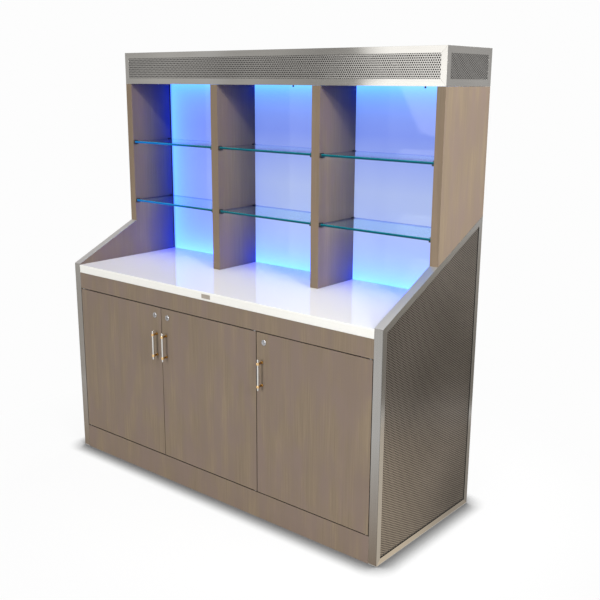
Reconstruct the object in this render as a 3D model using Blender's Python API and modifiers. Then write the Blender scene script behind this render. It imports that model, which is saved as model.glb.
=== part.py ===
"""Back bar cabinet: a three-door base under a white counter, a lit display hutch and a grilled header.

Metres, +Z up, the front faces -Y. The origin is on the floor, in the middle of the outer box.
"""

import math

import bmesh
import bpy
from mathutils import Vector

# Overall sizes
WIDTH = 1.778
DEPTH = 0.686
COUNTER_HEIGHT = 0.925
HUTCH_HEIGHT = 0.835
HEADER_HEIGHT = 0.143

# Clearances and tools
FIT = 0.0003
DOOR_GAP = 0.003
OVERCUT = 0.010
UNION_LAP = 0.003
ROUND_SIDES = 20
PIN_SIDES = 16
HOLE_SIDES = 6
SHARP_ANGLE = math.radians(35)
EASED_ANGLE = math.radians(60)

# End panels, which rise past the counter to a slanted edge and carry the hutch
END_THICKNESS = 0.038
END_LIP = 0.004
SLANT_RISE = 0.328
HUTCH_SETBACK = 0.354

# Stainless edge trim and perforated infill of the end panels
TRIM_WIDTH = 0.025
TRIM_SHEET = 0.0015
INFILL_SHEET = 0.0015
INFILL_INSET = 0.004

# Base carcass
PLINTH_HEIGHT = 0.1145
RAIL_THICKNESS = 0.019
APRON_HEIGHT = 0.0742
BOARD_THICKNESS = 0.018
BACK_THICKNESS = 0.018
STRETCHER_THICKNESS = 0.045
STOP_GAP = 0.001
BASE_SHELF_RISE = 0.337
BASE_SHELF_SETBACK = 0.110
BASE_SHELF_SIDE_GAP = 0.0008
BASE_SHELF_REAR_GAP = 0.012

# Counter slab with a built-up front edge
SLAB_THICKNESS = 0.019
COUNTER_EDGE_HEIGHT = 0.038
COUNTER_EDGE_DEPTH = 0.032
COUNTER_EASING = 0.003
EASING_STEPS = 3

# Doors, counted from the left, and the side that each one hinges on
DOOR_NAMES = ("left", "centre", "right")
HINGE_SIDES = (-1, 1, 1)
DOOR_THICKNESS = 0.019

# Pivot hinges let into the top and bottom edges of each door
PIVOT_INSET = 0.012
PIVOT_DEPTH = 0.007
PIVOT_PLATE_LENGTH = 0.052
PIVOT_PLATE_WIDTH = 0.011
PIVOT_PLATE_THICKNESS = 0.0025
PIVOT_PLATE_MARGIN = 0.003
PIVOT_SHOULDER_DIAMETER = 0.011
PIVOT_PIN_DIAMETER = 0.007
PIVOT_PIN_LENGTH = 0.014
PIVOT_CLEARANCE = 0.0004
SWING_CLEARANCE = 0.002

# Bar pulls
HANDLE_EDGE_INSET = 0.029
HANDLE_DROP = 0.1705
HANDLE_POST_SPACING = 0.096
BAR_LENGTH = 0.131
BAR_DIAMETER = 0.0095
BAR_STANDOFF = 0.0245
BAR_EASING = 0.0008
POST_DIAMETER = 0.009
COLLAR_DIAMETER = 0.0145
COLLAR_HEIGHT = 0.0105

# Cam locks
LOCK_EDGE_INSET = 0.039
LOCK_DROP = 0.042
LOCK_FLANGE_DIAMETER = 0.025
LOCK_FLANGE_THICKNESS = 0.003
LOCK_FLANGE_CHAMFER = 0.001
LOCK_BODY_DIAMETER = 0.019
LOCK_NUT_DIAMETER = 0.026
LOCK_NUT_THICKNESS = 0.0035
PLUG_DIAMETER = 0.0124
PLUG_CLEARANCE = 0.0004
PLUG_PROUD = 0.0005
PLUG_TAIL_DIAMETER = 0.008
KEYWAY_WIDTH = 0.0018
KEYWAY_HEIGHT = 0.0072
KEYWAY_DEPTH = 0.004
CAM_THICKNESS = 0.0025
CAM_WIDTH = 0.016
CAM_HOOK = 0.012

# Hutch, with its bays counted from the left
BAY_NAMES = ("left", "centre", "right")
PARTITION_THICKNESS = 0.042
LIGHT_BOX_DEPTH = 0.084
LIGHT_PANEL_THICKNESS = 0.006
LED_FRAME_WIDTH = 0.020
LED_STRIP_WIDTH = 0.012
LED_STRIP_THICKNESS = 0.003
LOWER_SHELF_RISE = 0.278
UPPER_SHELF_RISE = 0.564
GLASS_THICKNESS = 0.010
GLASS_SETBACK = 0.003
GLASS_SIDE_GAP = 0.001
GLASS_REAR_GAP = 0.004

# Shelf clips in the hutch and shelf pins in the base
CLIP_REACH = 0.012
CLIP_HEIGHT = 0.006
CLIP_LENGTH = 0.016
CLIP_END_INSET = 0.003

# Header box
HEADER_SHEET = 0.0015
HEADER_BORDER = 0.026
GRILLE_PITCH = 0.034
GRILLE_HOLE_DIAMETER = 0.0227
SOFFIT_THICKNESS = 0.012

# Lighting driver, on the soffit near the right end of the header
DRIVER_LENGTH = 0.230
DRIVER_WIDTH = 0.070
DRIVER_HEIGHT = 0.040
DRIVER_EASING = 0.003
DRIVER_END_INSET = 0.134

# Levels and planes that follow from the sizes above
HANDLE_REACH = BAR_STANDOFF + COLLAR_DIAMETER / 2
FRONT = -(DEPTH - HANDLE_REACH) / 2
REAR = FRONT + DEPTH
OUTER_X = WIDTH / 2
INNER_X = OUTER_X - END_THICKNESS
FITTED_X = INNER_X - FIT
HUTCH_FRONT = FRONT + HUTCH_SETBACK
PANEL_FACE = REAR - LIGHT_BOX_DEPTH
SLAB_UNDERSIDE = COUNTER_HEIGHT - SLAB_THICKNESS
COUNTER_EDGE_BOTTOM = COUNTER_HEIGHT - COUNTER_EDGE_HEIGHT
HUTCH_FLOOR = COUNTER_HEIGHT + FIT
HEADER_UNDERSIDE = COUNTER_HEIGHT + HUTCH_HEIGHT
HUTCH_CEILING = HEADER_UNDERSIDE - FIT
SOFFIT_TOP = HEADER_UNDERSIDE + SOFFIT_THICKNESS
HEADER_TOP = HEADER_UNDERSIDE + HEADER_HEIGHT
SHELF_TOPS = {"lower": COUNTER_HEIGHT + LOWER_SHELF_RISE, "upper": COUNTER_HEIGHT + UPPER_SHELF_RISE}
INNER_BACK = REAR - BACK_THICKNESS - FIT
SLANT_FRONT_HEIGHT = COUNTER_HEIGHT + END_LIP
SLANT_REAR_HEIGHT = SLANT_FRONT_HEIGHT + SLANT_RISE
SLANT_ANGLE = math.atan2(SLANT_RISE, DEPTH)
APRON_TOP = COUNTER_EDGE_BOTTOM - FIT
APRON_UNDERSIDE = APRON_TOP - APRON_HEIGHT
DOOR_WIDTH = (2 * INNER_X - (len(DOOR_NAMES) + 1) * DOOR_GAP) / len(DOOR_NAMES)
DOOR_BOTTOM = PLINTH_HEIGHT + DOOR_GAP
DOOR_TOP = APRON_UNDERSIDE - DOOR_GAP
HANDLE_HEIGHT = DOOR_TOP - HANDLE_DROP
LOCK_HEIGHT = APRON_UNDERSIDE - LOCK_DROP
PIVOT_Y = FRONT + PIVOT_DEPTH
HINGE_SWEEP = math.hypot(PIVOT_INSET, DOOR_THICKNESS - PIVOT_DEPTH)
SWING_LIMIT = PIVOT_Y + HINGE_SWEEP + SWING_CLEARANCE
BASE_FLOOR_TOP = PLINTH_HEIGHT + FIT + BOARD_THICKNESS
BASE_SHELF_TOP = BASE_FLOOR_TOP + BASE_SHELF_RISE
BAY_WIDTH = (2 * INNER_X - (len(BAY_NAMES) - 1) * PARTITION_THICKNESS) / len(BAY_NAMES)
PARTITION_X = BAY_WIDTH / 2 + PARTITION_THICKNESS / 2
PLUG_BORE_DIAMETER = (PLUG_DIAMETER + 2 * PLUG_CLEARANCE) / math.cos(math.pi / ROUND_SIDES)
LOCK_BODY_LENGTH = DOOR_THICKNESS + FIT + LOCK_NUT_THICKNESS

TURNS = {"X": (math.pi / 2, 0, math.pi / 2), "Y": (math.pi / 2, 0, 0), "Z": (0, 0, 0)}


def clear_scene():
    for thing in list(bpy.data.objects):
        bpy.data.objects.remove(thing, do_unlink=True)


def new_collection(name):
    home = bpy.data.collections.new(name)
    bpy.context.scene.collection.children.link(home)
    return home


clear_scene()
PARTS = new_collection("back_bar_cabinet")
CUTTERS = new_collection("cutters")


# Materials

def finish(name, colour, roughness, metallic=0.0, transmission=0.0, glow=0.0):
    material = bpy.data.materials.new(name)
    material.use_nodes = True
    shader = material.node_tree.nodes["Principled BSDF"]
    shader.inputs["Base Color"].default_value = (*colour, 1.0)
    shader.inputs["Roughness"].default_value = roughness
    shader.inputs["Metallic"].default_value = metallic
    shader.inputs["Transmission Weight"].default_value = transmission
    shader.inputs["Emission Color"].default_value = (*colour, 1.0)
    shader.inputs["Emission Strength"].default_value = glow
    return material


VENEER = finish("grey_brown_veneer", (0.25, 0.19, 0.14), 0.45)
BOARD = finish("carcass_board", (0.30, 0.24, 0.18), 0.6)
STAINLESS = finish("brushed_stainless", (0.55, 0.54, 0.52), 0.3, metallic=1.0)
PERFORATED = finish("perforated_stainless", (0.30, 0.29, 0.27), 0.4, metallic=1.0)
SOLID_SURFACE = finish("white_solid_surface", (0.88, 0.88, 0.86), 0.12)
GLASS = finish("clear_glass", (0.75, 0.92, 0.88), 0.02, transmission=1.0)
BRASS = finish("satin_brass", (0.72, 0.45, 0.16), 0.3, metallic=1.0)
CHROME = finish("bright_chrome", (0.75, 0.75, 0.76), 0.1, metallic=1.0)
STEEL = finish("plain_steel", (0.42, 0.42, 0.42), 0.4, metallic=1.0)
ACRYLIC = finish("lit_acrylic", (0.25, 0.42, 1.0), 0.15, glow=1.0)
ALUMINIUM = finish("aluminium_channel", (0.65, 0.65, 0.66), 0.35, metallic=1.0)
PLASTIC = finish("driver_case", (0.05, 0.05, 0.05), 0.5)


# Shape tools

def place(name, mesh, home, material=None):
    thing = bpy.data.objects.new(name, mesh)
    home.objects.link(thing)
    if material:
        mesh.materials.append(material)
    if home is CUTTERS:
        thing.hide_render = True
        thing.display_type = "WIRE"
    return thing


def block(name, low, high, material=None, home=PARTS):
    """A rectangular board or bar between two opposite corners."""
    low, high = Vector(low), Vector(high)
    shape = bmesh.new()
    bmesh.ops.create_cube(shape, size=1.0)
    bmesh.ops.scale(shape, vec=high - low, verts=shape.verts)
    mesh = bpy.data.meshes.new(name)
    shape.to_mesh(mesh)
    shape.free()
    thing = place(name, mesh, home, material)
    thing.location = (low + high) / 2
    return thing


def rod(name, diameter, centre, length, along, material=None, home=PARTS, sides=ROUND_SIDES):
    """A round bar, pin or bore along one axis."""
    shape = bmesh.new()
    bmesh.ops.create_cone(shape, cap_ends=True, segments=sides, radius1=diameter / 2,
                          radius2=diameter / 2, depth=length)
    mesh = bpy.data.meshes.new(name)
    shape.to_mesh(mesh)
    shape.free()
    smooth(mesh)
    thing = place(name, mesh, home, material)
    thing.location = centre
    thing.rotation_euler = TURNS[along]
    return thing


def prism(name, outline, low, high, along, material=None, home=PARTS, holes=()):
    """A flat outline with its holes, given a thickness from low to high along one axis."""
    curve = bpy.data.curves.new(name, "CURVE")
    curve.dimensions = "2D"
    curve.fill_mode = "BOTH"
    curve.extrude = (high - low) / 2
    for loop in (outline, *holes):
        spline = curve.splines.new("POLY")
        spline.points.add(len(loop) - 1)
        spline.use_cyclic_u = True
        for point, (u, v) in zip(spline.points, loop):
            point.co = (u, v, 0, 1)
    drawn = bpy.data.objects.new(name + "_outline", curve)
    PARTS.objects.link(drawn)
    drawn.rotation_euler = TURNS[along]
    drawn.location["XYZ".index(along)] = (low + high) / 2
    bpy.context.view_layer.update()
    mesh = bpy.data.meshes.new_from_object(drawn.evaluated_get(bpy.context.evaluated_depsgraph_get()))
    mesh.name = name
    shape = bmesh.new()
    shape.from_mesh(mesh)
    bmesh.ops.remove_doubles(shape, verts=shape.verts, dist=FIT / 10)
    bmesh.ops.recalc_face_normals(shape, faces=shape.faces)
    shape.to_mesh(mesh)
    shape.free()
    mesh.materials.clear()
    thing = place(name, mesh, home, material)
    thing.matrix_world = drawn.matrix_world.copy()
    bpy.data.objects.remove(drawn)
    bpy.data.curves.remove(curve)
    return thing


def turned(name, profile, location, along, material=None, closed=False, home=PARTS, sides=ROUND_SIDES):
    """A lathe shape: radius and height pairs that run from the top down the outer side."""
    mesh = bpy.data.meshes.new(name)
    count = len(profile)
    edges = [(i, i + 1) for i in range(count - 1)]
    if closed:
        edges.append((count - 1, 0))
    mesh.from_pydata([(radius, 0, height) for radius, height in profile], edges, [])
    thing = place(name, mesh, home, material)
    thing.location = location
    thing.rotation_euler = TURNS[along]
    screw = thing.modifiers.new("turn", "SCREW")
    screw.steps = sides
    screw.render_steps = sides
    screw.use_merge_vertices = True
    screw.merge_threshold = FIT / 10
    screw.use_smooth_shade = True
    return thing


def smooth(mesh):
    mesh.shade_smooth()
    mesh.set_sharp_from_angle(angle=SHARP_ANGLE)


def combine(thing, tool, operation):
    boolean = thing.modifiers.new(tool.name, "BOOLEAN")
    boolean.operation = operation
    boolean.object = tool
    boolean.solver = "EXACT"


def cut(thing, *tools):
    for tool in tools:
        combine(thing, tool, "DIFFERENCE")


def join(thing, *tools):
    for tool in tools:
        combine(thing, tool, "UNION")


def ease(thing, width, segments=2):
    bevel = thing.modifiers.new("eased_edges", "BEVEL")
    bevel.width = width
    bevel.segments = segments
    bevel.limit_method = "ANGLE"
    bevel.angle_limit = EASED_ANGLE


def pivot_point(name, location):
    """An empty on a joint's axis."""
    empty = bpy.data.objects.new(name, None)
    PARTS.objects.link(empty)
    empty.location = location
    return empty


def carry(carrier, *pieces):
    """Pieces that move with a carrier, left where they stand."""
    bpy.context.view_layer.update()
    for piece in pieces:
        piece.parent = carrier
        piece.matrix_parent_inverse = carrier.matrix_world.inverted()


def rectangle(u0, u1, v0, v1):
    return [(u0, v0), (u1, v0), (u1, v1), (u0, v1)]


def ring_of_points(u, v, radius, sides):
    """A round hole's outline, with a corner at the top."""
    turns = [math.pi / 2 + 2 * math.pi * i / sides for i in range(sides)]
    return [(u + radius * math.cos(turn), v + radius * math.sin(turn)) for turn in turns]


def eased_corner(u, v, toward_u, toward_v, radius):
    """Points of a quarter round that starts on the vertical side of a corner."""
    points = []
    for step in range(EASING_STEPS + 1):
        turn = math.pi / 2 * step / EASING_STEPS
        across, along = radius * (1 - math.cos(turn)), radius * (1 - math.sin(turn))
        points.append((u + toward_u * across, v + toward_v * along))
    return points


def staggered_holes(u0, u1, v0, v1, pitch, diameter):
    """Hole outlines in staggered rows, centred in a rectangle."""
    row_pitch = pitch * math.sin(math.pi / 3)
    rows = 1 + int((v1 - v0 - diameter) / row_pitch)
    columns = 1 + int((u1 - u0 - diameter - pitch / 2) / pitch)
    first_u = (u0 + u1) / 2 - ((columns - 1) * pitch + pitch / 2) / 2
    first_v = (v0 + v1) / 2 - (rows - 1) * row_pitch / 2
    holes = []
    for row in range(rows):
        shift = pitch / 2 * (row % 2)
        for column in range(columns):
            centre = (first_u + shift + column * pitch, first_v + row * row_pitch)
            holes.append(ring_of_points(*centre, diameter / 2, HOLE_SIDES))
    return holes


# End panels, their trim and infill

def slant_height(y):
    return SLANT_FRONT_HEIGHT + (y - FRONT) * math.tan(SLANT_ANGLE)


def slant_below(y, distance):
    """Height at y of a line that runs below the slanted edge, square to it, by a distance."""
    return slant_height(y) - distance / math.cos(SLANT_ANGLE)


def flank(inset, slant_inset=None):
    """The four corners of the end panel's lower flank, drawn in on every side."""
    front, rear = FRONT + inset, REAR - inset
    drop = inset if slant_inset is None else slant_inset
    return [(front, inset), (rear, inset), (rear, slant_below(rear, drop)), (front, slant_below(front, drop))]


def panel_outline(front_inset, ceiling, foot):
    """The whole end panel: flank and hutch upright in one outline."""
    front = FRONT + front_inset
    return [(front, foot), (REAR, foot), (REAR, ceiling), (HUTCH_FRONT, ceiling),
            (HUTCH_FRONT, slant_below(HUTCH_FRONT, front_inset)), (front, slant_below(front, front_inset))]


def between(x_a, x_b):
    return min(x_a, x_b), max(x_a, x_b)


def shelf_clips(name, wall_x, facing, tops, thickness, front, rear):
    """The two supports under one end of a shelf, reaching out of a wall."""
    reach = facing * CLIP_REACH
    clips = []
    for place_name, y in (("front", front + CLIP_END_INSET), ("rear", rear - CLIP_END_INSET - CLIP_LENGTH)):
        for level, top in tops.items():
            under = top - thickness - FIT
            x0, x1 = between(wall_x - facing * UNION_LAP, wall_x + reach)
            clips.append(block(f"{name}_{level}_{place_name}", (x0, y, under - CLIP_HEIGHT),
                               (x1, y + CLIP_LENGTH, under), home=CUTTERS))
    return clips


def hutch_clips(name, wall_x, facing):
    return shelf_clips(name + "_clip", wall_x, facing, SHELF_TOPS, GLASS_THICKNESS,
                       HUTCH_FRONT + GLASS_SETBACK, PANEL_FACE - GLASS_REAR_GAP)


def base_pins(name, wall_x, facing):
    return shelf_clips(name + "_pin", wall_x, facing, {"base": BASE_SHELF_TOP}, BOARD_THICKNESS,
                       FRONT + BASE_SHELF_SETBACK, INNER_BACK - BASE_SHELF_REAR_GAP)


def end_panel(side, name):
    outer = side * OUTER_X
    inner = side * INNER_X
    cover = TRIM_SHEET + FIT
    panel = prism(f"{name}_end_panel", panel_outline(cover, HUTCH_CEILING, 0), *between(inner, outer), "X",
                  VENEER)
    rebate_floor = outer - side * (TRIM_SHEET + INFILL_SHEET + 2 * FIT)
    rebate = prism(f"{name}_end_rebate", flank(-OVERCUT, slant_inset=-FIT),
                   *between(rebate_floor, outer + side * OVERCUT), "X", home=CUTTERS)
    cut(panel, rebate)
    join(panel, *hutch_clips(f"{name}_end", inner, -side), *base_pins(f"{name}_end", inner, -side))
    return panel


def end_trim(side, name):
    """One folded stainless piece: front cap, slanted cap and the frame on the outer face."""
    outer = side * OUTER_X
    trim = prism(f"{name}_end_trim", flank(0), *between(side * INNER_X, outer), "X", STAINLESS,
                 holes=[flank(TRIM_WIDTH)])
    hutch_edge = HUTCH_FRONT - FIT
    front = FRONT + TRIM_SHEET
    high = SLANT_REAR_HEIGHT + OVERCUT
    hollow = [(front, -OVERCUT), (REAR + OVERCUT, -OVERCUT), (REAR + OVERCUT, high), (hutch_edge, high),
              (hutch_edge, slant_below(hutch_edge, TRIM_SHEET)), (front, slant_below(front, TRIM_SHEET))]
    core_space = prism(f"{name}_trim_hollow", hollow,
                       *between(side * (INNER_X - OVERCUT), outer - side * TRIM_SHEET), "X", home=CUTTERS)
    cut(trim, core_space)
    return trim


def side_infill(side, name):
    face = side * (OUTER_X - TRIM_SHEET - FIT)
    return prism(f"{name}_side_infill", flank(INFILL_INSET), *between(face, face - side * INFILL_SHEET), "X",
                 PERFORATED)


# Base carcass and counter

def hinge_axis_x(index):
    """Where a door's pivots stand."""
    left = door_left(index)
    if HINGE_SIDES[index] < 0:
        return left + PIVOT_INSET
    return left + DOOR_WIDTH - PIVOT_INSET


def door_left(index):
    return -INNER_X + DOOR_GAP + index * (DOOR_WIDTH + DOOR_GAP)


def pivot_bores(name, low, high):
    """Holes for the pivot pins of every door."""
    diameter = (PIVOT_PIN_DIAMETER + 2 * PIVOT_CLEARANCE) / math.cos(math.pi / PIN_SIDES)
    bores = []
    for i, door_name in enumerate(DOOR_NAMES):
        centre = (hinge_axis_x(i), PIVOT_Y, (low + high) / 2)
        bores.append(rod(f"{name}_bore_{door_name}", diameter, centre, high - low, "Z", home=CUTTERS,
                         sides=PIN_SIDES))
    return bores


def rails():
    """The plinth rail below the doors and the apron rail above them, bored for the pivots."""
    bore_depth = PIVOT_PIN_LENGTH - DOOR_GAP + FIT
    plinth = block("plinth_rail", (-FITTED_X, FRONT, 0), (FITTED_X, FRONT + RAIL_THICKNESS, PLINTH_HEIGHT),
                   VENEER)
    cut(plinth, *pivot_bores("plinth", PLINTH_HEIGHT - bore_depth, PLINTH_HEIGHT + OVERCUT))
    apron = block("apron_rail", (-FITTED_X, FRONT, APRON_UNDERSIDE),
                  (FITTED_X, FRONT + RAIL_THICKNESS, APRON_TOP), VENEER)
    cut(apron, *pivot_bores("apron", APRON_UNDERSIDE - OVERCUT, APRON_UNDERSIDE + bore_depth))


def base_carcass():
    behind_rail = FRONT + RAIL_THICKNESS + FIT
    block("plinth_stretcher", (-STRETCHER_THICKNESS / 2, behind_rail, 0),
          (STRETCHER_THICKNESS / 2, INNER_BACK, PLINTH_HEIGHT), BOARD)
    block("base_back", (-FITTED_X, REAR - BACK_THICKNESS, 0), (FITTED_X, REAR, SLAB_UNDERSIDE - FIT), BOARD)

    stop_edge = FRONT + DOOR_THICKNESS + STOP_GAP
    floor = block("base_floor", (-FITTED_X, stop_edge, PLINTH_HEIGHT + FIT),
                  (FITTED_X, INNER_BACK, BASE_FLOOR_TOP), BOARD)
    for i, door_name in enumerate(DOOR_NAMES):
        reach = HINGE_SWEEP + SWING_CLEARANCE
        x = hinge_axis_x(i)
        cut(floor, block(f"floor_notch_{door_name}", (x - reach, stop_edge - OVERCUT, PLINTH_HEIGHT - OVERCUT),
                         (x + reach, SWING_LIMIT, BASE_FLOOR_TOP + OVERCUT), home=CUTTERS))

    wall_x = door_left(len(DOOR_NAMES) - 1) - DOOR_GAP / 2
    wall_left, wall_right = wall_x - BOARD_THICKNESS / 2, wall_x + BOARD_THICKNESS / 2
    wall = block("base_partition", (wall_left, SWING_LIMIT, BASE_FLOOR_TOP + FIT),
                 (wall_right, INNER_BACK, SLAB_UNDERSIDE - FIT), BOARD)
    edge_relief = block("partition_edge_relief", (wall_left - OVERCUT, FRONT, COUNTER_EDGE_BOTTOM - FIT),
                        (wall_right + OVERCUT, FRONT + COUNTER_EDGE_DEPTH + FIT, SLAB_UNDERSIDE + OVERCUT),
                        home=CUTTERS)
    cut(wall, edge_relief)
    join(wall, *base_pins("wall_left", wall_left, -1), *base_pins("wall_right", wall_right, 1))

    shelf_front = FRONT + BASE_SHELF_SETBACK
    shelf_rear = INNER_BACK - BASE_SHELF_REAR_GAP
    shelf_bottom = BASE_SHELF_TOP - BOARD_THICKNESS
    for name, left, right in (("left", -INNER_X, wall_left), ("right", wall_right, INNER_X)):
        block(f"base_shelf_{name}", (left + BASE_SHELF_SIDE_GAP, shelf_front, shelf_bottom),
              (right - BASE_SHELF_SIDE_GAP, shelf_rear, BASE_SHELF_TOP), BOARD)


def countertop():
    lower_corner = eased_corner(FRONT, COUNTER_EDGE_BOTTOM, 1, 1, COUNTER_EASING)
    upper_corner = eased_corner(FRONT, COUNTER_HEIGHT, 1, -1, COUNTER_EASING)
    build_up = FRONT + COUNTER_EDGE_DEPTH
    outline = lower_corner + [(build_up, COUNTER_EDGE_BOTTOM), (build_up, SLAB_UNDERSIDE),
                              (REAR, SLAB_UNDERSIDE), (REAR, COUNTER_HEIGHT)] + upper_corner[::-1]
    prism("countertop", outline, -FITTED_X, FITTED_X, "X", SOLID_SURFACE)


# Doors with their pivots, pulls and locks

def door_pivot(name, x, inward, edge_z, facing):
    """A pin with a shoulder on a plate that is let into the door's edge."""
    shoulder = DOOR_GAP - FIT
    pin_radius, shoulder_radius = PIVOT_PIN_DIAMETER / 2, PIVOT_SHOULDER_DIAMETER / 2
    profile = [(0, PIVOT_PIN_LENGTH), (pin_radius, PIVOT_PIN_LENGTH), (pin_radius, shoulder),
               (shoulder_radius, shoulder), (shoulder_radius, -PIVOT_PLATE_THICKNESS / 2),
               (0, -PIVOT_PLATE_THICKNESS / 2)]
    pin = turned(f"pivot_{name}", profile, (x, PIVOT_Y, edge_z), "Z", STEEL, sides=PIN_SIDES)
    if facing < 0:
        pin.rotation_euler = (math.pi, 0, 0)
    start = x - inward * (PIVOT_INSET - PIVOT_PLATE_MARGIN)
    x0, x1 = between(start, start + inward * PIVOT_PLATE_LENGTH)
    z0, z1 = between(edge_z, edge_z - facing * PIVOT_PLATE_THICKNESS)
    y0, y1 = PIVOT_Y - PIVOT_PLATE_WIDTH / 2, PIVOT_Y + PIVOT_PLATE_WIDTH / 2
    join(pin, block(f"pivot_plate_{name}", (x0, y0, z0), (x1, y1, z1), home=CUTTERS))
    recess_floor = edge_z - facing * (PIVOT_PLATE_THICKNESS + FIT)
    recess_low, recess_high = between(edge_z + facing * OVERCUT, recess_floor)
    mortise = block(f"pivot_mortise_{name}", (x0 - FIT, y0 - FIT, recess_low),
                    (x1 + FIT, y1 + FIT, recess_high), home=CUTTERS)
    return pin, mortise


def bar_pull(door, x):
    bar_y = FRONT - BAR_STANDOFF
    bar = rod(f"handle_bar_{door}", BAR_DIAMETER, (x, bar_y, HANDLE_HEIGHT), BAR_LENGTH, "Z", STAINLESS)
    ease(bar, BAR_EASING)
    pieces = [bar]
    bore = rod(f"handle_bore_{door}", (BAR_DIAMETER + 2 * FIT) / math.cos(math.pi / ROUND_SIDES),
               (x, bar_y, HANDLE_HEIGHT), BAR_LENGTH + OVERCUT, "Z", home=CUTTERS)
    for place_name, step in (("upper", 0.5), ("lower", -0.5)):
        z = HANDLE_HEIGHT + step * HANDLE_POST_SPACING
        length = BAR_STANDOFF - FIT
        middle = FRONT - FIT - length / 2
        post = rod(f"handle_post_{door}_{place_name}", POST_DIAMETER, (x, middle, z), length, "Y", BRASS)
        join(post, rod(f"handle_collar_{door}_{place_name}", COLLAR_DIAMETER, (x, bar_y, z), COLLAR_HEIGHT,
                       "Z", home=CUTTERS))
        cut(post, bore)
        pieces.append(post)
    return pieces


def lock_housing(door, x):
    """Flange, body and nut, clamped round the door."""
    bore, body = PLUG_BORE_DIAMETER / 2, LOCK_BODY_DIAMETER / 2
    flange = LOCK_FLANGE_DIAMETER / 2
    face = FIT + LOCK_FLANGE_THICKNESS
    profile = [(bore, face), (flange - LOCK_FLANGE_CHAMFER, face), (flange, face - LOCK_FLANGE_CHAMFER),
               (flange, FIT), (body, FIT), (body, -LOCK_BODY_LENGTH), (bore, -LOCK_BODY_LENGTH)]
    housing = turned(f"lock_housing_{door}", profile, (x, FRONT, LOCK_HEIGHT), "Y", CHROME, closed=True)
    nut_front = FRONT + DOOR_THICKNESS + FIT
    nut_ring = ring_of_points(x, LOCK_HEIGHT, LOCK_NUT_DIAMETER / 2, HOLE_SIDES)
    nut_bore = ring_of_points(x, LOCK_HEIGHT, (bore + body) / 2, ROUND_SIDES)
    join(housing, prism(f"lock_nut_{door}", nut_ring, nut_front, nut_front + LOCK_NUT_THICKNESS - FIT, "Y",
                        home=CUTTERS, holes=[nut_bore]))
    return housing


def lock_plug(door, x):
    """The turning key plug, with a tail that carries the cam."""
    head, tail = PLUG_DIAMETER / 2, PLUG_TAIL_DIAMETER / 2
    face = FIT + LOCK_FLANGE_THICKNESS + PLUG_PROUD
    cam_rear = LOCK_BODY_LENGTH + FIT + CAM_THICKNESS + FIT
    profile = [(0, face), (head, face), (head, -LOCK_BODY_LENGTH), (tail, -LOCK_BODY_LENGTH),
               (tail, -cam_rear), (0, -cam_rear)]
    plug = turned(f"lock_plug_{door}", profile, (x, FRONT, LOCK_HEIGHT), "Y", CHROME)
    half = Vector((KEYWAY_WIDTH / 2, 0, KEYWAY_HEIGHT / 2))
    front = Vector((x, FRONT - face - OVERCUT, LOCK_HEIGHT))
    rear = Vector((x, FRONT - face + KEYWAY_DEPTH, LOCK_HEIGHT))
    cut(plug, block(f"keyway_{door}", front - half, rear + half, home=CUTTERS))
    return plug


def lock_cam(door, x, inward):
    """A flat cam that lies toward the hinge side and turns up behind the apron rail."""
    radius = CAM_WIDTH / 2
    reach = APRON_UNDERSIDE - LOCK_HEIGHT + CAM_HOOK
    outline = []
    for step in range(ROUND_SIDES // 2 + 1):
        turn = math.pi / 2 + math.pi * step / (ROUND_SIDES // 2)
        outline.append((x + inward * radius * math.cos(turn), LOCK_HEIGHT + radius * math.sin(turn)))
    outline += [(x + inward * reach, LOCK_HEIGHT - radius), (x + inward * reach, LOCK_HEIGHT + radius)]
    seat_radius = (PLUG_TAIL_DIAMETER / 2 + FIT) / math.cos(math.pi / ROUND_SIDES)
    seat = ring_of_points(x, LOCK_HEIGHT, seat_radius, ROUND_SIDES)
    front = FRONT + LOCK_BODY_LENGTH + FIT
    return prism(f"lock_cam_{door}", outline, front, front + CAM_THICKNESS, "Y", STEEL, holes=[seat])


def door(index):
    name = DOOR_NAMES[index]
    left = door_left(index)
    right = left + DOOR_WIDTH
    inward = -HINGE_SIDES[index]
    free_edge = right if inward > 0 else left
    axis_x = hinge_axis_x(index)
    leaf = block(f"door_{name}", (left, FRONT, DOOR_BOTTOM), (right, FRONT + DOOR_THICKNESS, DOOR_TOP),
                 VENEER)
    swing = pivot_point(f"door_{name}_axis", (axis_x, PIVOT_Y, DOOR_BOTTOM))
    moving = [leaf]
    for end, edge_z, facing in (("top", DOOR_TOP, 1), ("bottom", DOOR_BOTTOM, -1)):
        pin, mortise = door_pivot(f"{name}_{end}", axis_x, inward, edge_z, facing)
        cut(leaf, mortise)
        moving.append(pin)
    moving += bar_pull(name, free_edge - inward * HANDLE_EDGE_INSET)

    lock_x = free_edge - inward * LOCK_EDGE_INSET
    lock_bore = (LOCK_BODY_DIAMETER + 2 * FIT) / math.cos(math.pi / ROUND_SIDES)
    cut(leaf, rod(f"lock_bore_{name}", lock_bore, (lock_x, FRONT + DOOR_THICKNESS / 2, LOCK_HEIGHT),
                  DOOR_THICKNESS + OVERCUT, "Y", home=CUTTERS))
    moving.append(lock_housing(name, lock_x))
    key_turn = pivot_point(f"lock_{name}_axis", (lock_x, FRONT, LOCK_HEIGHT))
    carry(key_turn, lock_plug(name, lock_x), lock_cam(name, lock_x, -inward))
    carry(swing, *moving, key_turn)


# Hutch

def hutch_partition(side, name):
    x = side * PARTITION_X
    low, high = x - PARTITION_THICKNESS / 2, x + PARTITION_THICKNESS / 2
    partition = block(f"hutch_partition_{name}", (low, HUTCH_FRONT, HUTCH_FLOOR),
                      (high, PANEL_FACE - FIT, HUTCH_CEILING), VENEER)
    join(partition, *hutch_clips(f"partition_{name}_low", low, -1),
         *hutch_clips(f"partition_{name}_high", high, 1))


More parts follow.
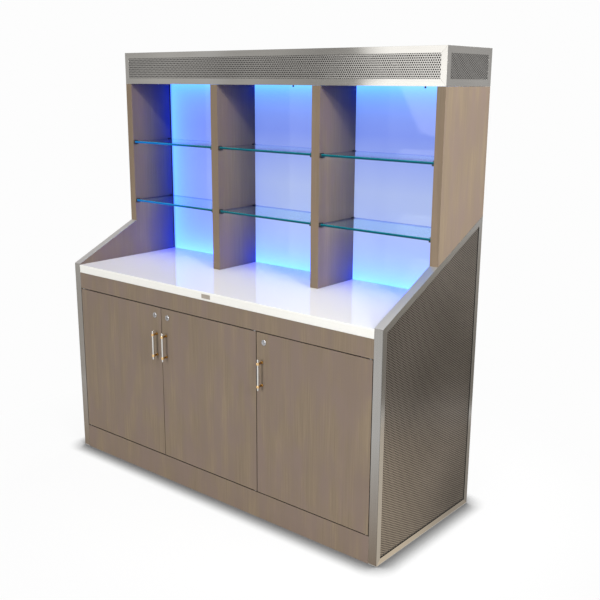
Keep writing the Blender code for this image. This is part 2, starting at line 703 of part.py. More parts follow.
def light_box():
    """The glowing back of the hutch: acrylic panel, frame with its lighting strip, and closing board."""
    block("light_panel", (-FITTED_X, PANEL_FACE, HUTCH_FLOOR),
          (FITTED_X, PANEL_FACE + LIGHT_PANEL_THICKNESS, HUTCH_CEILING), ACRYLIC)
    block("hutch_back", (-FITTED_X, REAR - BACK_THICKNESS, HUTCH_FLOOR), (FITTED_X, REAR, HUTCH_CEILING),
          BOARD)
    frame_front = PANEL_FACE + LIGHT_PANEL_THICKNESS + FIT
    outer = rectangle(-FITTED_X, FITTED_X, HUTCH_FLOOR, HUTCH_CEILING)

    def drawn_in(inset):
        return rectangle(-FITTED_X + inset, FITTED_X - inset, HUTCH_FLOOR + inset, HUTCH_CEILING - inset)

    channel = prism("led_frame", outer, frame_front, INNER_BACK, "Y", ALUMINIUM,
                    holes=[drawn_in(LED_FRAME_WIDTH)])
    middle = (frame_front + INNER_BACK) / 2
    join(channel, prism("led_strip", drawn_in(LED_FRAME_WIDTH - UNION_LAP), middle - LED_STRIP_WIDTH / 2,
                        middle + LED_STRIP_WIDTH / 2, "Y", home=CUTTERS,
                        holes=[drawn_in(LED_FRAME_WIDTH + LED_STRIP_THICKNESS)]))


def glass_shelves():
    for bay, name in enumerate(BAY_NAMES):
        left = -INNER_X + bay * (BAY_WIDTH + PARTITION_THICKNESS) + GLASS_SIDE_GAP
        right = left + BAY_WIDTH - 2 * GLASS_SIDE_GAP
        for level, top in SHELF_TOPS.items():
            block(f"glass_shelf_{name}_{level}", (left, HUTCH_FRONT + GLASS_SETBACK, top - GLASS_THICKNESS),
                  (right, PANEL_FACE - GLASS_REAR_GAP, top), GLASS)


# Header

def header_wall(name, u0, u1, window_u0, window_u1, face, inward, along):
    """One flat sheet, perforated inside a plain border."""
    v0, v1 = HEADER_UNDERSIDE + HEADER_BORDER, HEADER_TOP - HEADER_BORDER
    holes = staggered_holes(window_u0, window_u1, v0, v1, GRILLE_PITCH, GRILLE_HOLE_DIAMETER)
    prism(name, rectangle(u0, u1, HEADER_UNDERSIDE, HEADER_TOP),
          *between(face, face + inward * HEADER_SHEET), along, STAINLESS, holes=holes)


def header_walls():
    inset = HEADER_SHEET + FIT
    header_wall("header_front", -OUTER_X, OUTER_X, -OUTER_X + HEADER_BORDER, OUTER_X - HEADER_BORDER,
                HUTCH_FRONT, 1, "Y")
    for side, name in ((-1, "left"), (1, "right")):
        header_wall(f"header_end_{name}", HUTCH_FRONT + inset, REAR, HUTCH_FRONT + HEADER_BORDER,
                    REAR - HEADER_BORDER, side * OUTER_X, -side, "X")
    block("header_lid", (-OUTER_X + inset, HUTCH_FRONT + inset, HEADER_TOP - HEADER_SHEET),
          (OUTER_X - inset, REAR - inset, HEADER_TOP), STAINLESS)
    block("header_back", (-OUTER_X + inset, REAR - HEADER_SHEET, HEADER_UNDERSIDE),
          (OUTER_X - inset, REAR, HEADER_TOP), STAINLESS)


def header_inside():
    inset = HEADER_SHEET + FIT
    block("header_soffit", (-OUTER_X + inset, HUTCH_FRONT + inset, HEADER_UNDERSIDE),
          (OUTER_X - inset, REAR - inset, SOFFIT_TOP), VENEER)
    right = OUTER_X - DRIVER_END_INSET
    front = (HUTCH_FRONT + REAR - DRIVER_WIDTH) / 2
    floor = SOFFIT_TOP + FIT
    driver = block("led_driver", (right - DRIVER_LENGTH, front, floor),
                   (right, front + DRIVER_WIDTH, floor + DRIVER_HEIGHT), PLASTIC)
    ease(driver, DRIVER_EASING)


for side, name in ((-1, "left"), (1, "right")):
    end_panel(side, name)
    end_trim(side, name)
    side_infill(side, name)
    hutch_partition(side, name)
rails()
base_carcass()
countertop()
for index in range(len(DOOR_NAMES)):
    door(index)
light_box()
glass_shelves()
header_walls()
header_inside()
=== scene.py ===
import math

import bmesh
import bpy
from mathutils import Matrix, Vector

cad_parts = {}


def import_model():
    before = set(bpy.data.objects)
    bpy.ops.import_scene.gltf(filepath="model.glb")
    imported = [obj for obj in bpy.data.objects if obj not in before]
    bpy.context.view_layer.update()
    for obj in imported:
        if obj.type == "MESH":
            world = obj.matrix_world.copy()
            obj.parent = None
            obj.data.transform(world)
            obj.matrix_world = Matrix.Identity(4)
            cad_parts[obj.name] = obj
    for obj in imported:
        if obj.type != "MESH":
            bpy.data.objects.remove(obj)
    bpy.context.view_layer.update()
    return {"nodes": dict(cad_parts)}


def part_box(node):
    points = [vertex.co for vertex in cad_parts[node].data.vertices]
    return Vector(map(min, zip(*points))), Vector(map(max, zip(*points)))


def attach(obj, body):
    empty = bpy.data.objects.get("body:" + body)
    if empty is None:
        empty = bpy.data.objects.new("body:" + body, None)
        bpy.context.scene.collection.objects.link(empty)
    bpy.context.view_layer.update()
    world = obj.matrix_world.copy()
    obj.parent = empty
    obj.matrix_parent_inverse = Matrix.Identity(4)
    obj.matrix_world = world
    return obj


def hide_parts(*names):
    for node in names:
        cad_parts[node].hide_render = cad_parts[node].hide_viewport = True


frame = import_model()

# Clearances and steps, in metres like all sizes here
FIT = 0.0003
SHELF_PLAY = 0.001
BASE_SHELF_PLAY = 0.0008
SLANT_STEP = 0.004

# Sizes that the frame gives
OUTER_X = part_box("header_front")[1].x
INNER_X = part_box("led_frame")[1].x + FIT
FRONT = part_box("plinth_rail")[0].y
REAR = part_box("hutch_back")[1].y
HUTCH_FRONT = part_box("header_front")[0].y
PANEL_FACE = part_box("light_panel")[0].y
COUNTER_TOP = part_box("countertop")[1].z
HEADER_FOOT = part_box("header_front")[0].z
HEADER_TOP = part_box("header_front")[1].z
SLANT_FRONT = COUNTER_TOP + SLANT_STEP
SLANT_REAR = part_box("right_end_trim")[1].z
SLANT = math.atan2(SLANT_REAR - SLANT_FRONT, REAR - FRONT)
INFILL_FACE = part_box("right_side_infill")[1].x

# Sizes of what is added or finished here
SHEET = 0.0015
SHEET_LAP = 0.012
TRIM_WIDTH = 0.025
HEADER_BORDER = 0.026
HEADER_LAP = 0.007
PERFORATION_PITCH = 0.009525
PERFORATION_HOLE = 0.00635
BOARD_EASING = 0.0007
DOOR_EASING = 0.0009
COUNTER_EASING = 0.0004
SHEET_EASING = 0.0003
GLASS_ARRIS = 0.0009
WELD = 0.000005
SHARP = math.radians(35)

# Parts of a face's normal along an axis, for faces square to it and for eased edges
SQUARE = 0.9
EASED = 0.3

X, Y, Z = range(3)
AXES = (Vector((1, 0, 0)), Vector((0, 1, 0)), Vector((0, 0, 1)))
SIDES = ((-1, "left"), (1, "right"))
DOORS = ("left", "centre", "right")
GLASS_SHELVES = [f"glass_shelf_{bay}_{level}" for bay in ("left", "centre", "right")
                 for level in ("lower", "upper")]

scene = bpy.context.scene
scene.view_settings.view_transform = "Standard"


# Node tools

def add(tree, kind, inputs=(), **settings):
    """Adds a shader node. Each input is a socket and either a plain value or another node's output."""
    made = tree.nodes.new("ShaderNode" + kind)
    for key, value in settings.items():
        setattr(made, key, value)
    for key, value in inputs:
        if isinstance(value, bpy.types.NodeSocket):
            tree.links.new(value, made.inputs[key])
        else:
            made.inputs[key].default_value = value
    return made


def join_up(tree, pairs):
    for source, target in pairs:
        tree.links.new(source, target)


def maths(tree, operation, a, b=0.0):
    return add(tree, "Math", [(0, a), (1, b)], operation=operation).outputs[0]


def vectors(tree, operation, a, b):
    return add(tree, "VectorMath", [(0, a), (1, b)], operation=operation).outputs[0]


def dot(tree, a, b):
    inputs = [(0, a), (1, b)]
    return add(tree, "VectorMath", inputs, operation="DOT_PRODUCT").outputs["Value"]


def ranged(tree, value, low, high, to_low=0.0, to_high=1.0):
    inputs = [(0, value), (1, low), (2, high), (3, to_low), (4, to_high)]
    return add(tree, "MapRange", inputs).outputs[0]


def mixed(tree, factor, a, b, way="MIX"):
    inputs = [(0, factor), (6, a), (7, b)]
    return add(tree, "Mix", inputs, data_type="RGBA", blend_type=way).outputs[2]


def weighed(tree, a, b, share):
    """A share of a and the rest of b."""
    return maths(tree, "ADD", maths(tree, "MULTIPLY", a, share), maths(tree, "MULTIPLY", b, 1 - share))


def noise(tree, vector, scale, detail, roughness=0.5):
    inputs = [("Vector", vector), ("Scale", scale), ("Detail", detail), ("Roughness", roughness)]
    return add(tree, "TexNoise", inputs).outputs[0]


def stretched_noise(tree, vector, stretch):
    return noise(tree, vectors(tree, "MULTIPLY", vector, stretch), scale=1.0, detail=2)


def local(tree):
    return add(tree, "TexCoord").outputs["Object"]


def parts_of(tree, vector):
    """The X, Y and Z of a vector."""
    return add(tree, "SeparateXYZ", [(0, vector)]).outputs


def within_box(tree):
    """X, Y and Z within the piece's own box, each from 0 to 1."""
    return parts_of(tree, add(tree, "TexCoord").outputs["Generated"])


def showing(tree):
    """1 for what the camera sees, directly, in a reflection or through glass."""
    path = add(tree, "LightPath").outputs
    seen = maths(tree, "MAXIMUM", path["Is Camera Ray"], path["Is Glossy Ray"])
    seen = maths(tree, "MAXIMUM", seen, path["Is Transmission Ray"])
    return maths(tree, "MULTIPLY", seen, maths(tree, "LESS_THAN", path["Diffuse Depth"], 0.5))


def shared_effect(name, inputs, outputs):
    """A shader node group, with its input and output nodes."""
    group = bpy.data.node_groups.new(name, "ShaderNodeTree")
    for way, sockets in (("INPUT", inputs), ("OUTPUT", outputs)):
        for label, kind in sockets.items():
            group.interface.new_socket(label, in_out=way, socket_type=kind)
    return group, group.nodes.new("NodeGroupInput").outputs, group.nodes.new("NodeGroupOutput").inputs


def effect(tree, group, **inputs):
    """The outputs of a shared effect, used with these inputs."""
    return add(tree, "Group", inputs.items(), node_tree=group).outputs


COLOUR, VALUE, VECTOR = "NodeSocketColor", "NodeSocketFloat", "NodeSocketVector"


# Shared effects

def straight_grain_effect():
    """Fine straight grain along one axis, shifted from board to board, with warm clouds and dark patches."""
    group, given, out = shared_effect(
        "straight_grain",
        {"Light": COLOUR, "Dark": COLOUR, "Warm": COLOUR, "Stretch": VECTOR, "Satin": VALUE},
        {"Colour": COLOUR, "Roughness": VALUE, "Height": VALUE})
    board_shift = add(group, "Attribute", attribute_name="board").outputs["Vector"]
    shifted = vectors(group, "ADD", local(group), vectors(group, "MULTIPLY", board_shift, (3.7, 2.3, 1.1)))
    along = vectors(group, "MULTIPLY", shifted, given["Stretch"])
    fine = noise(group, along, scale=1.0, detail=4, roughness=0.62)
    broad = noise(group, along, scale=0.11, detail=3, roughness=0.55)
    pores = ranged(group, noise(group, along, scale=2.6, detail=1), 0.60, 0.72)
    clouds = ranged(group, stretched_noise(group, shifted, (17, 17, 4.5)), 0.38, 0.62, 0.0, 0.90)
    patches = ranged(group, stretched_noise(group, shifted, (12, 12, 5)), 0.36, 0.64, 0.0, 0.34)
    figure = ranged(group, weighed(group, fine, broad, 0.68), 0.36, 0.64)
    colour = mixed(group, figure, given["Dark"], given["Light"])
    colour = mixed(group, clouds, colour, given["Warm"])
    colour = mixed(group, patches, colour, given["Dark"])
    colour = mixed(group, maths(group, "MULTIPLY", pores, 0.22), colour, given["Dark"])
    shine = maths(group, "ADD", given["Satin"], ranged(group, fine, 0.3, 0.7, -0.05, 0.07))
    height = maths(group, "SUBTRACT", fine, maths(group, "MULTIPLY", pores, 0.5))
    join_up(group, [(colour, out["Colour"]), (shine, out["Roughness"]), (height, out["Height"])])
    return group


def brushed_lines_effect():
    """Long fine scratches with a slow drift of shade, for brushed metal."""
    group, given, out = shared_effect(
        "brushed_lines", {"Vector": VECTOR, "Stretch": VECTOR, "Satin": VALUE},
        {"Shade": VALUE, "Roughness": VALUE, "Height": VALUE})
    along = vectors(group, "MULTIPLY", given["Vector"], given["Stretch"])
    lines = noise(group, along, scale=1.0, detail=3, roughness=0.7)
    drift = noise(group, given["Vector"], scale=2.3, detail=1)
    shade = ranged(group, weighed(group, lines, drift, 0.3), 0.3, 0.7)
    shine = maths(group, "ADD", given["Satin"], ranged(group, lines, 0.3, 0.7, -0.02, 0.03))
    join_up(group, [(shade, out["Shade"]), (shine, out["Roughness"]), (lines, out["Height"])])
    return group


def worn_edge_effect():
    """A mask along outer edges, broken up as handling does."""
    group, given, out = shared_effect("worn_edge", {"Radius": VALUE, "Wear": VALUE}, {"Edge": VALUE})
    rounded = add(group, "Bevel", [("Radius", given["Radius"])], samples=4).outputs[0]
    flat = add(group, "NewGeometry").outputs["Normal"]
    bend = ranged(group, dot(group, rounded, flat), 0.99, 0.86)
    patches = ranged(group, noise(group, local(group), scale=38.0, detail=3, roughness=0.6), 0.38, 0.66)
    edge = maths(group, "MULTIPLY", maths(group, "MULTIPLY", bend, patches), given["Wear"])
    group.links.new(edge, out["Edge"])
    return group


def handling_effect():
    """Slight cloudy changes of gloss, as wiping and fingers leave."""
    group, given, out = shared_effect(
        "handling", {"Size": VALUE, "Low": VALUE, "High": VALUE}, {"Roughness": VALUE, "Cloud": VALUE})
    cloud = noise(group, local(group), given["Size"], detail=4, roughness=0.6)
    shine = ranged(group, cloud, 0.35, 0.7, given["Low"], given["High"])
    join_up(group, [(shine, out["Roughness"]), (cloud, out["Cloud"])])
    return group


GRAIN = straight_grain_effect()
BRUSHED = brushed_lines_effect()
WORN = worn_edge_effect()
HANDLED = handling_effect()


# Colours of the glowing panel, as it shows and as it lights the bays. What it shows holds painted light and
# shade

GLOW_STRENGTH = 4.0
# Painted light: the pale middle holds lamp light that the panel would reflect
PALE_GLOW_PAINTED_LIGHT = (0.087, 0.109, 0.186, 1)
# Painted shade: a deeper middle towards the left bay
DEEP_GLOW_PAINTED_SHADE = (0.050, 0.073, 0.210, 1)
# Painted shade: the header's shade on the panel's upper part
UPPER_GLOW_PAINTED_SHADE = (0.0380, 0.0580, 0.192, 1)
# Painted shade at the panel's left corner
GLOW_SHADED = (0.012, 0.022, 0.055, 1)
CAST_MIDDLE = (0.0, 0.010, 0.150, 1)

# The same for its light strips, and how far each reaches, in the order head, left end, foot
GLOW_STRIPS = ((0.048, 0.182, 0.50, 1), (0.046, 0.175, 0.95, 1), (0.070, 0.226, 1.0, 1))
CAST_STRIPS = ((0.0, 0.025, 1.55, 1), (0.0, 0.035, 2.00, 1), (0.0, 0.055, 3.10, 1))
GLOW_REACH = (0.05, 0.075, 0.065)

# Painted light: the veneer beside the panel is tinted blue in its colour, within these reaches of the strips
# and depths of its face
PAINTED_PANEL_BLUE = (0.36, 0.53, 1.0, 1)
PAINTED_BLUE_REACH = (0.30, 0.10, 0.20)
PAINTED_BLUE_STARTS, PAINTED_BLUE_FULL = PANEL_FACE - 0.19, PANEL_FACE - 0.03


# Materials

def new_material(name, **plain):
    """A material and its Principled shader, with sockets that are the same all over set here."""
    material = bpy.data.materials.new(name)
    material.use_nodes = True
    shader = material.node_tree.nodes["Principled BSDF"]
    for label, value in plain.items():
        shader.inputs[label.replace("_", " ")].default_value = value
    return material, material.node_tree, shader.inputs


def join_surface(tree, shader, colour, roughness):
    join_up(tree, [(colour, shader["Base Color"]), (roughness, shader["Roughness"])])


def join_bump(tree, shader, height, strength, distance):
    inputs = [("Height", height), ("Strength", strength), ("Distance", distance)]
    tree.links.new(add(tree, "Bump", inputs).outputs[0], shader["Normal"])


def worn(tree, colour, edge_colour, radius, wear):
    """A colour that turns to another one along worn edges."""
    return mixed(tree, effect(tree, WORN, Radius=radius, Wear=wear)["Edge"], colour, edge_colour)


def strip_distances(tree):
    """How far a place is from the light strips along the panel's head, left end and foot."""
    place = parts_of(tree, local(tree))
    from_head = maths(tree, "SUBTRACT", HEADER_FOOT, place["Z"])
    from_left = maths(tree, "ADD", place["X"], INNER_X)
    from_foot = maths(tree, "SUBTRACT", place["Z"], COUNTER_TOP)
    return from_head, from_left, from_foot


def fading(tree, distances, reaches):
    """1 beside each strip, and less with every reach away from it."""
    return [maths(tree, "EXPONENT", maths(tree, "DIVIDE", distance, -reach))
            for distance, reach in zip(distances, reaches)]


def mask_of_painted_panel_light(tree):
    """A mask of painted panel light on the bays' inner faces, full where they meet the glowing panel beside
    its light strips.
    """
    head, left, foot = fading(tree, strip_distances(tree), PAINTED_BLUE_REACH)
    strips = maths(tree, "MAXIMUM", maths(tree, "MAXIMUM", head, left), foot)
    depth = ranged(tree, parts_of(tree, local(tree))["Y"], PAINTED_BLUE_STARTS, PAINTED_BLUE_FULL)
    return maths(tree, "MULTIPLY", maths(tree, "MINIMUM", strips, 1.0), depth)


def veneer(name, light, dark, warm, stretch=(260, 260, 4), satin=0.40, wear=0.35, painted_blue=None):
    """Straight-grained veneer or board, paler where its edges are worn."""
    material, tree, shader = new_material(name, Specular_IOR_Level=0.14)
    grain = effect(tree, GRAIN, Light=light, Dark=dark, Warm=warm, Stretch=stretch, Satin=satin)
    colour = worn(tree, grain["Colour"], light, radius=0.0018, wear=wear)
    # Painted light: the panel's blue light multiplied into the veneer's colour
    if painted_blue:
        colour = mixed(tree, mask_of_painted_panel_light(tree), colour, painted_blue, "MULTIPLY")
    join_surface(tree, shader, colour, grain["Roughness"])
    join_bump(tree, shader, grain["Height"], strength=0.12, distance=0.0003)
    return material


ALONG_X, ALONG_Y, ALONG_Z = (6, 420, 420), (420, 6, 420), (420, 420, 6)


def brushed_metal(name, light, dark, stretch=ALONG_X, satin=0.18, wear=0.3, turn=(0, 0, 0)):
    material, tree, shader = new_material(name, Metallic=1.0)
    turned_axes = add(tree, "Mapping", [("Vector", local(tree)), ("Rotation", turn)]).outputs[0]
    lines = effect(tree, BRUSHED, Vector=turned_axes, Stretch=stretch, Satin=satin)
    body = mixed(tree, lines["Shade"], dark, light)
    join_surface(tree, shader, worn(tree, body, light, radius=0.0012, wear=wear), lines["Roughness"])
    join_bump(tree, shader, lines["Height"], strength=0.008, distance=0.0001)
    return material


def polished_metal(name, light, dark, low, high):
    """Smooth metal with a roughness that drifts between low and high."""
    material, tree, shader = new_material(name, Metallic=1.0)
    gloss = effect(tree, HANDLED, Size=60.0, Low=low, High=high)
    body = mixed(tree, gloss["Cloud"], dark, light)
    join_surface(tree, shader, worn(tree, body, light, radius=0.0008, wear=0.5), gloss["Roughness"])
    return material


def solid_surface():
    """Polished white counter stone with a very fine fleck."""
    material, tree, shader = new_material("white_solid_surface", IOR=1.5)
    fleck = ranged(tree, noise(tree, local(tree), scale=900.0, detail=2), 0.35, 0.65)
    body = mixed(tree, fleck, (0.87, 0.86, 0.81, 1), (0.92, 0.91, 0.86, 1))
    colour = worn(tree, body, (0.93, 0.92, 0.88, 1), radius=0.002, wear=0.25)
    gloss = effect(tree, HANDLED, Size=5.0, Low=0.035, High=0.075)
    join_surface(tree, shader, colour, gloss["Roughness"])
    return material


def lit_acrylic():
    """Acrylic lit from its top, foot and left end: deep blue there, pale between with painted lamp light. It
    casts a deep blue.
    """
    material, tree, shader = new_material("lit_acrylic", Emission_Strength=GLOW_STRENGTH, IOR=1.49)
    distances = strip_distances(tree)
    from_head, from_left = distances[:2]
    cloud = ranged(tree, noise(tree, local(tree), scale=3.0, detail=2), 0.3, 0.7, 0.8, 1.0)
    # Painted shade: the glow deepens towards the left bay
    across = ranged(tree, parts_of(tree, local(tree))["X"], -0.65, -0.05)
    # Painted shade: the upper part, in the header's shade
    upper = ranged(tree, from_head, 0.20, 0.44, 1.0, 0.0)
    # Painted shade: darker up to 18 mm from the left end
    painted_corner_shade = ranged(tree, from_left, 0.002, 0.018, 0.30, 1.0)
    glow = mixed(tree, maths(tree, "MULTIPLY", across, cloud), DEEP_GLOW_PAINTED_SHADE, PALE_GLOW_PAINTED_LIGHT)
    glow = mixed(tree, upper, glow, UPPER_GLOW_PAINTED_SHADE)
    cast = CAST_MIDDLE
    for near, glow_there, cast_there in zip(fading(tree, distances, GLOW_REACH), GLOW_STRIPS, CAST_STRIPS):
        glow = mixed(tree, near, glow, glow_there)
        cast = mixed(tree, near, cast, cast_there)
    glow = mixed(tree, painted_corner_shade, GLOW_SHADED, glow)
    # What the camera sees holds the painted light and shade; the bays are lit by the deep blue cast
    glow = mixed(tree, showing(tree), cast, glow)
    gloss = effect(tree, HANDLED, Size=4.0, Low=0.03, High=0.06)
    body = mixed(tree, gloss["Cloud"], (0.07, 0.075, 0.085, 1), (0.09, 0.095, 0.105, 1))
    join_surface(tree, shader, body, gloss["Roughness"])
    tree.links.new(glow, shader["Emission Color"])
    return material


def clear_glass():
    """Clear glass, deeper in colour along its rear and left margins: painted panel light along the rear,
    painted shade along the left.
    """
    material, tree, shader = new_material("shelf_glass", Transmission_Weight=1.0, IOR=1.5, Roughness=0.0)
    place = within_box(tree)
    painted_rear_light = ranged(tree, place["Y"], 0.862, 0.880)
    painted_left_shade = ranged(tree, place["X"], 0.066, 0.052)
    colour = worn(tree, (0.62, 0.91, 0.995, 1), (0.40, 0.76, 0.76, 1), radius=0.003, wear=1.0)
    # Painted light along the rear margin and painted shade along the left one
    colour = mixed(tree, painted_rear_light, colour, (0.23, 0.50, 0.98, 1))
    colour = mixed(tree, painted_left_shade, colour, (0.13, 0.27, 0.66, 1))
    tree.links.new(colour, shader["Base Color"])
    return material


# Where the painted glow on the edge of a glass shelf starts and where it is full, as places along X
PAINTED_GLOW_AT_LEFT = (-0.42, -0.62)
PAINTED_GLOW_ALL_ALONG = (3.0, 2.0)


def glass_edge(name, dark, light, glow, glowing):
    """The polished edge of the glass, with a painted highlight in its upper half and a painted glow of the
    panel's light.
    """
    material, tree, shader = new_material(name, Transmission_Weight=0.10, Specular_IOR_Level=0.08, IOR=1.5,
                                          Roughness=0.06, Emission_Strength=1.0)
    streak = stretched_noise(tree, local(tree), (14, 300, 300))
    # Painted highlight in the upper half
    upper = maths(tree, "MULTIPLY", ranged(tree, within_box(tree)["Z"], 0.55, 0.75, 0.10, 1.0),
                  ranged(tree, streak, 0.3, 0.6, 0.6, 1.0))
    # Painted glow of the panel's light
    painted_glint = maths(tree, "MULTIPLY", ranged(tree, parts_of(tree, local(tree))["X"], *glowing),
                  ranged(tree, streak, 0.3, 0.6, 0.5, 1.0))
    join_up(tree, [(mixed(tree, upper, dark, light), shader["Base Color"]),
                   (mixed(tree, painted_glint, (0.0, 0.0, 0.0, 1), glow), shader["Emission Color"])])
    return material


def matt_coat(name, light, dark, size, low, high):
    """A coated or moulded surface with a slight mottle of one size, and a roughness from low to high."""
    material, tree, shader = new_material(name)
    gloss = effect(tree, HANDLED, Size=size, Low=low, High=high)
    body = mixed(tree, ranged(tree, gloss["Cloud"], 0.35, 0.65), dark, light)
    join_surface(tree, shader, worn(tree, body, light, radius=0.001, wear=0.4), gloss["Roughness"])
    join_bump(tree, shader, gloss["Cloud"], strength=0.05, distance=0.0003)
    return material


# Colours in the order light, dark and, for wood, warm
TAUPE = ((0.272, 0.210, 0.143, 1), (0.201, 0.153, 0.109, 1), (0.222, 0.166, 0.138, 1))
VENEER = veneer("taupe_veneer", *TAUPE)
VENEER_WITH_PAINTED_LIGHT = veneer("taupe_veneer_painted_panel_light", *TAUPE, painted_blue=PAINTED_PANEL_BLUE)
EDGE_BAND = veneer("edge_band", (0.241, 0.183, 0.127, 1), (0.187, 0.141, 0.096, 1), (0.219, 0.159, 0.109, 1))
# Painted shade: a dark band on the faces in the gaps round the doors
PAINTED_GAP_SHADE = veneer("painted_gap_shade_band", (0.042, 0.032, 0.024, 1), (0.029, 0.022, 0.017, 1),
                   (0.038, 0.029, 0.021, 1))
CARCASS = veneer("carcass_board", (0.33, 0.265, 0.20, 1), (0.28, 0.22, 0.165, 1), (0.31, 0.24, 0.18, 1),
                 stretch=(4, 180, 180), satin=0.52, wear=0.2)
STEEL = ((0.43, 0.42, 0.40, 1), (0.33, 0.32, 0.305, 1))
STEEL_ALONG_X = brushed_metal("stainless_along_x", *STEEL, satin=0.10)
STEEL_ALONG_Y = brushed_metal("stainless_along_y", *STEEL, ALONG_Y)
STEEL_ALONG_Z = brushed_metal("stainless_along_z", *STEEL, ALONG_Z)
STEEL_ALONG_SLANT = brushed_metal("stainless_along_slant", *STEEL, ALONG_Y, turn=(-SLANT, 0, 0))
# Painted reflection: the foot strip is a lighter, warmer copy of the stainless, for the warm floor it
# reflects
FOOT_STEEL_PAINTED_REFLECTION = brushed_metal("stainless_foot_painted_reflection", (0.54, 0.495, 0.435, 1), (0.45, 0.415, 0.365, 1), ALONG_Y)
# Painted light: the sloping cap is a lighter copy of the stainless; its greater roughness is a finish
CAP_STEEL_PAINTED_LIGHT = brushed_metal("stainless_sloping_cap_painted_light", (0.62, 0.615, 0.605, 1), (0.54, 0.535, 0.525, 1), ALONG_Y,
                          satin=0.38, turn=(-SLANT, 0, 0))
# Painted shade and a painted warm reflection: the side sheets are a darker, browner copy of the stainless
SHEET_STEEL_PAINTED_SHADE = brushed_metal("perforated_stainless", (0.365, 0.327, 0.290, 1), (0.238, 0.211, 0.183, 1),
                            ALONG_Z, satin=0.30, wear=0.0)
HEADER_SHEET_STEEL = brushed_metal("header_perforated_stainless", (0.38, 0.37, 0.355, 1),
                                   (0.29, 0.28, 0.268, 1), satin=0.25, wear=0.0)
SATIN_NICKEL = brushed_metal("satin_nickel", (0.72, 0.71, 0.69, 1), (0.56, 0.55, 0.53, 1), (600, 600, 30),
                             satin=0.24)
ALUMINIUM = brushed_metal("mill_aluminium", (0.70, 0.70, 0.71, 1), (0.56, 0.56, 0.57, 1), satin=0.34)
BARE_PLATE = brushed_metal("bare_plate", (0.52, 0.47, 0.41, 1), (0.40, 0.36, 0.31, 1), satin=0.36)
BRASS = polished_metal("satin_brass", (0.88, 0.62, 0.33, 1), (0.72, 0.47, 0.21, 1), 0.16, 0.30)
# Painted shade: the pull posts are a darker copy of the brass
POST_BRASS_PAINTED_SHADE = polished_metal("post_brass_painted_shade", (0.52, 0.28, 0.075, 1), (0.40, 0.20, 0.045, 1), 0.16, 0.30)
# Painted shade: chrome darker than it is, for the dark surroundings it reflects
CHROME_PAINTED_SHADE = polished_metal("bright_chrome", (0.50, 0.50, 0.51, 1), (0.34, 0.34, 0.35, 1), 0.06, 0.16)
PLAIN_STEEL = polished_metal("plain_steel", (0.50, 0.50, 0.50, 1), (0.34, 0.34, 0.34, 1), 0.28, 0.45)
COUNTER = solid_surface()
ACRYLIC = lit_acrylic()
GLASS = clear_glass()
# Painted light and shade on the glass edges: highlight and glow on the front, glow on the rear, shade on the
# ends
GLASS_EDGE_PAINTED_LIGHT = glass_edge("glass_edge", (0.001, 0.055, 0.075, 1), (0.008, 0.26, 0.305, 1),
                        (0.0, 0.080, 0.44, 1), PAINTED_GLOW_AT_LEFT)
GLASS_REAR_PAINTED_GLOW = glass_edge("glass_rear_edge_painted_glow", (0.0, 0.03, 0.10, 1), (0.0, 0.06, 0.18, 1), (0.01, 0.11, 0.62, 1),
                        PAINTED_GLOW_ALL_ALONG)
GLASS_SIDE_PAINTED_SHADE = glass_edge("glass_side_edge_painted_shade", (0.001, 0.004, 0.02, 1), (0.002, 0.008, 0.04, 1),
                        (0.0, 0.002, 0.02, 1), PAINTED_GLOW_ALL_ALONG)
# Painted shade: a dark lining where only shade shows, behind perforations, inside the header and at the
# panel's corners
PAINTED_SHADE_LINER = matt_coat("painted_shade_liner", (0.020, 0.018, 0.016, 1), (0.011, 0.010, 0.009, 1), 40.0, 0.7, 0.9)
CLIP = matt_coat("shelf_clip_black", (0.010, 0.011, 0.012, 1), (0.005, 0.0055, 0.006, 1), 90.0, 0.45, 0.6)
DRIVER_CASE = matt_coat("driver_case", (0.060, 0.060, 0.062, 1), (0.036, 0.036, 0.038, 1), 60.0, 0.45, 0.6)
STUD = matt_coat("dark_stud", (0.05, 0.045, 0.07, 1), (0.025, 0.022, 0.04, 1), 90.0, 0.3, 0.45)


# Piece tools

GRAIN_STEP = 0.618
board_count = 0


def finish_piece(name, mesh, materials, body, replaced=(), even=True):
    """Makes an object of a mesh, shades it and hangs it on its body. Each one gets its own shift of grain."""
    global board_count
    board_count += 1
    for material in materials:
        mesh.materials.append(material)
    shift = mesh.attributes.new("board", "FLOAT", "POINT")
    shift.data.foreach_set("value", [board_count * GRAIN_STEP] * len(mesh.vertices))
    mesh.shade_smooth()
    mesh.set_sharp_from_angle(angle=SHARP)
    piece = bpy.data.objects.new(name, mesh)
    scene.collection.objects.link(piece)
    if even:
        piece.modifiers.new("even_faces", "WEIGHTED_NORMAL").keep_sharp = True
    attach(piece, body)
    if replaced:
        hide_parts(*replaced)
    return piece


def paint_faces(piece, material, chosen):
    index = piece.data.materials.find(material.name)
    for face in piece.data.polygons:
        if chosen(face):
            face.material_index = index


def mesh_of(name, shape):
    mesh = bpy.data.meshes.new(name)
    shape.to_mesh(mesh)
    shape.free()
    return mesh


def closed(shape):
    bmesh.ops.recalc_face_normals(shape, faces=shape.faces)
    return shape


def added_piece(name, shape, material):
    """A piece of the cabinet that stands for no node."""
    finish_piece(name, mesh_of(name, closed(shape)), [material], "cabinet")


def welded_copy(node):
    """A node's shape with its corners welded."""
    shape = bmesh.new()
    shape.from_mesh(frame["nodes"][node].data)
    bmesh.ops.remove_doubles(shape, verts=shape.verts, dist=WELD)
    return shape


def without_supports(shape, low=-math.inf, high=math.inf):
    """Takes off the shelf supports that reach past a panel's inner faces, and closes the panel there."""
    slack = 0.0005
    past = [face for face in shape.faces
            if any(not low - slack <= corner.co.x <= high + slack for corner in face.verts)]
    if past:
        bmesh.ops.delete(shape, geom=past, context="FACES")
        open_edges = [edge for edge in shape.edges if edge.is_boundary]
        bmesh.ops.holes_fill(shape, edges=open_edges, sides=0)


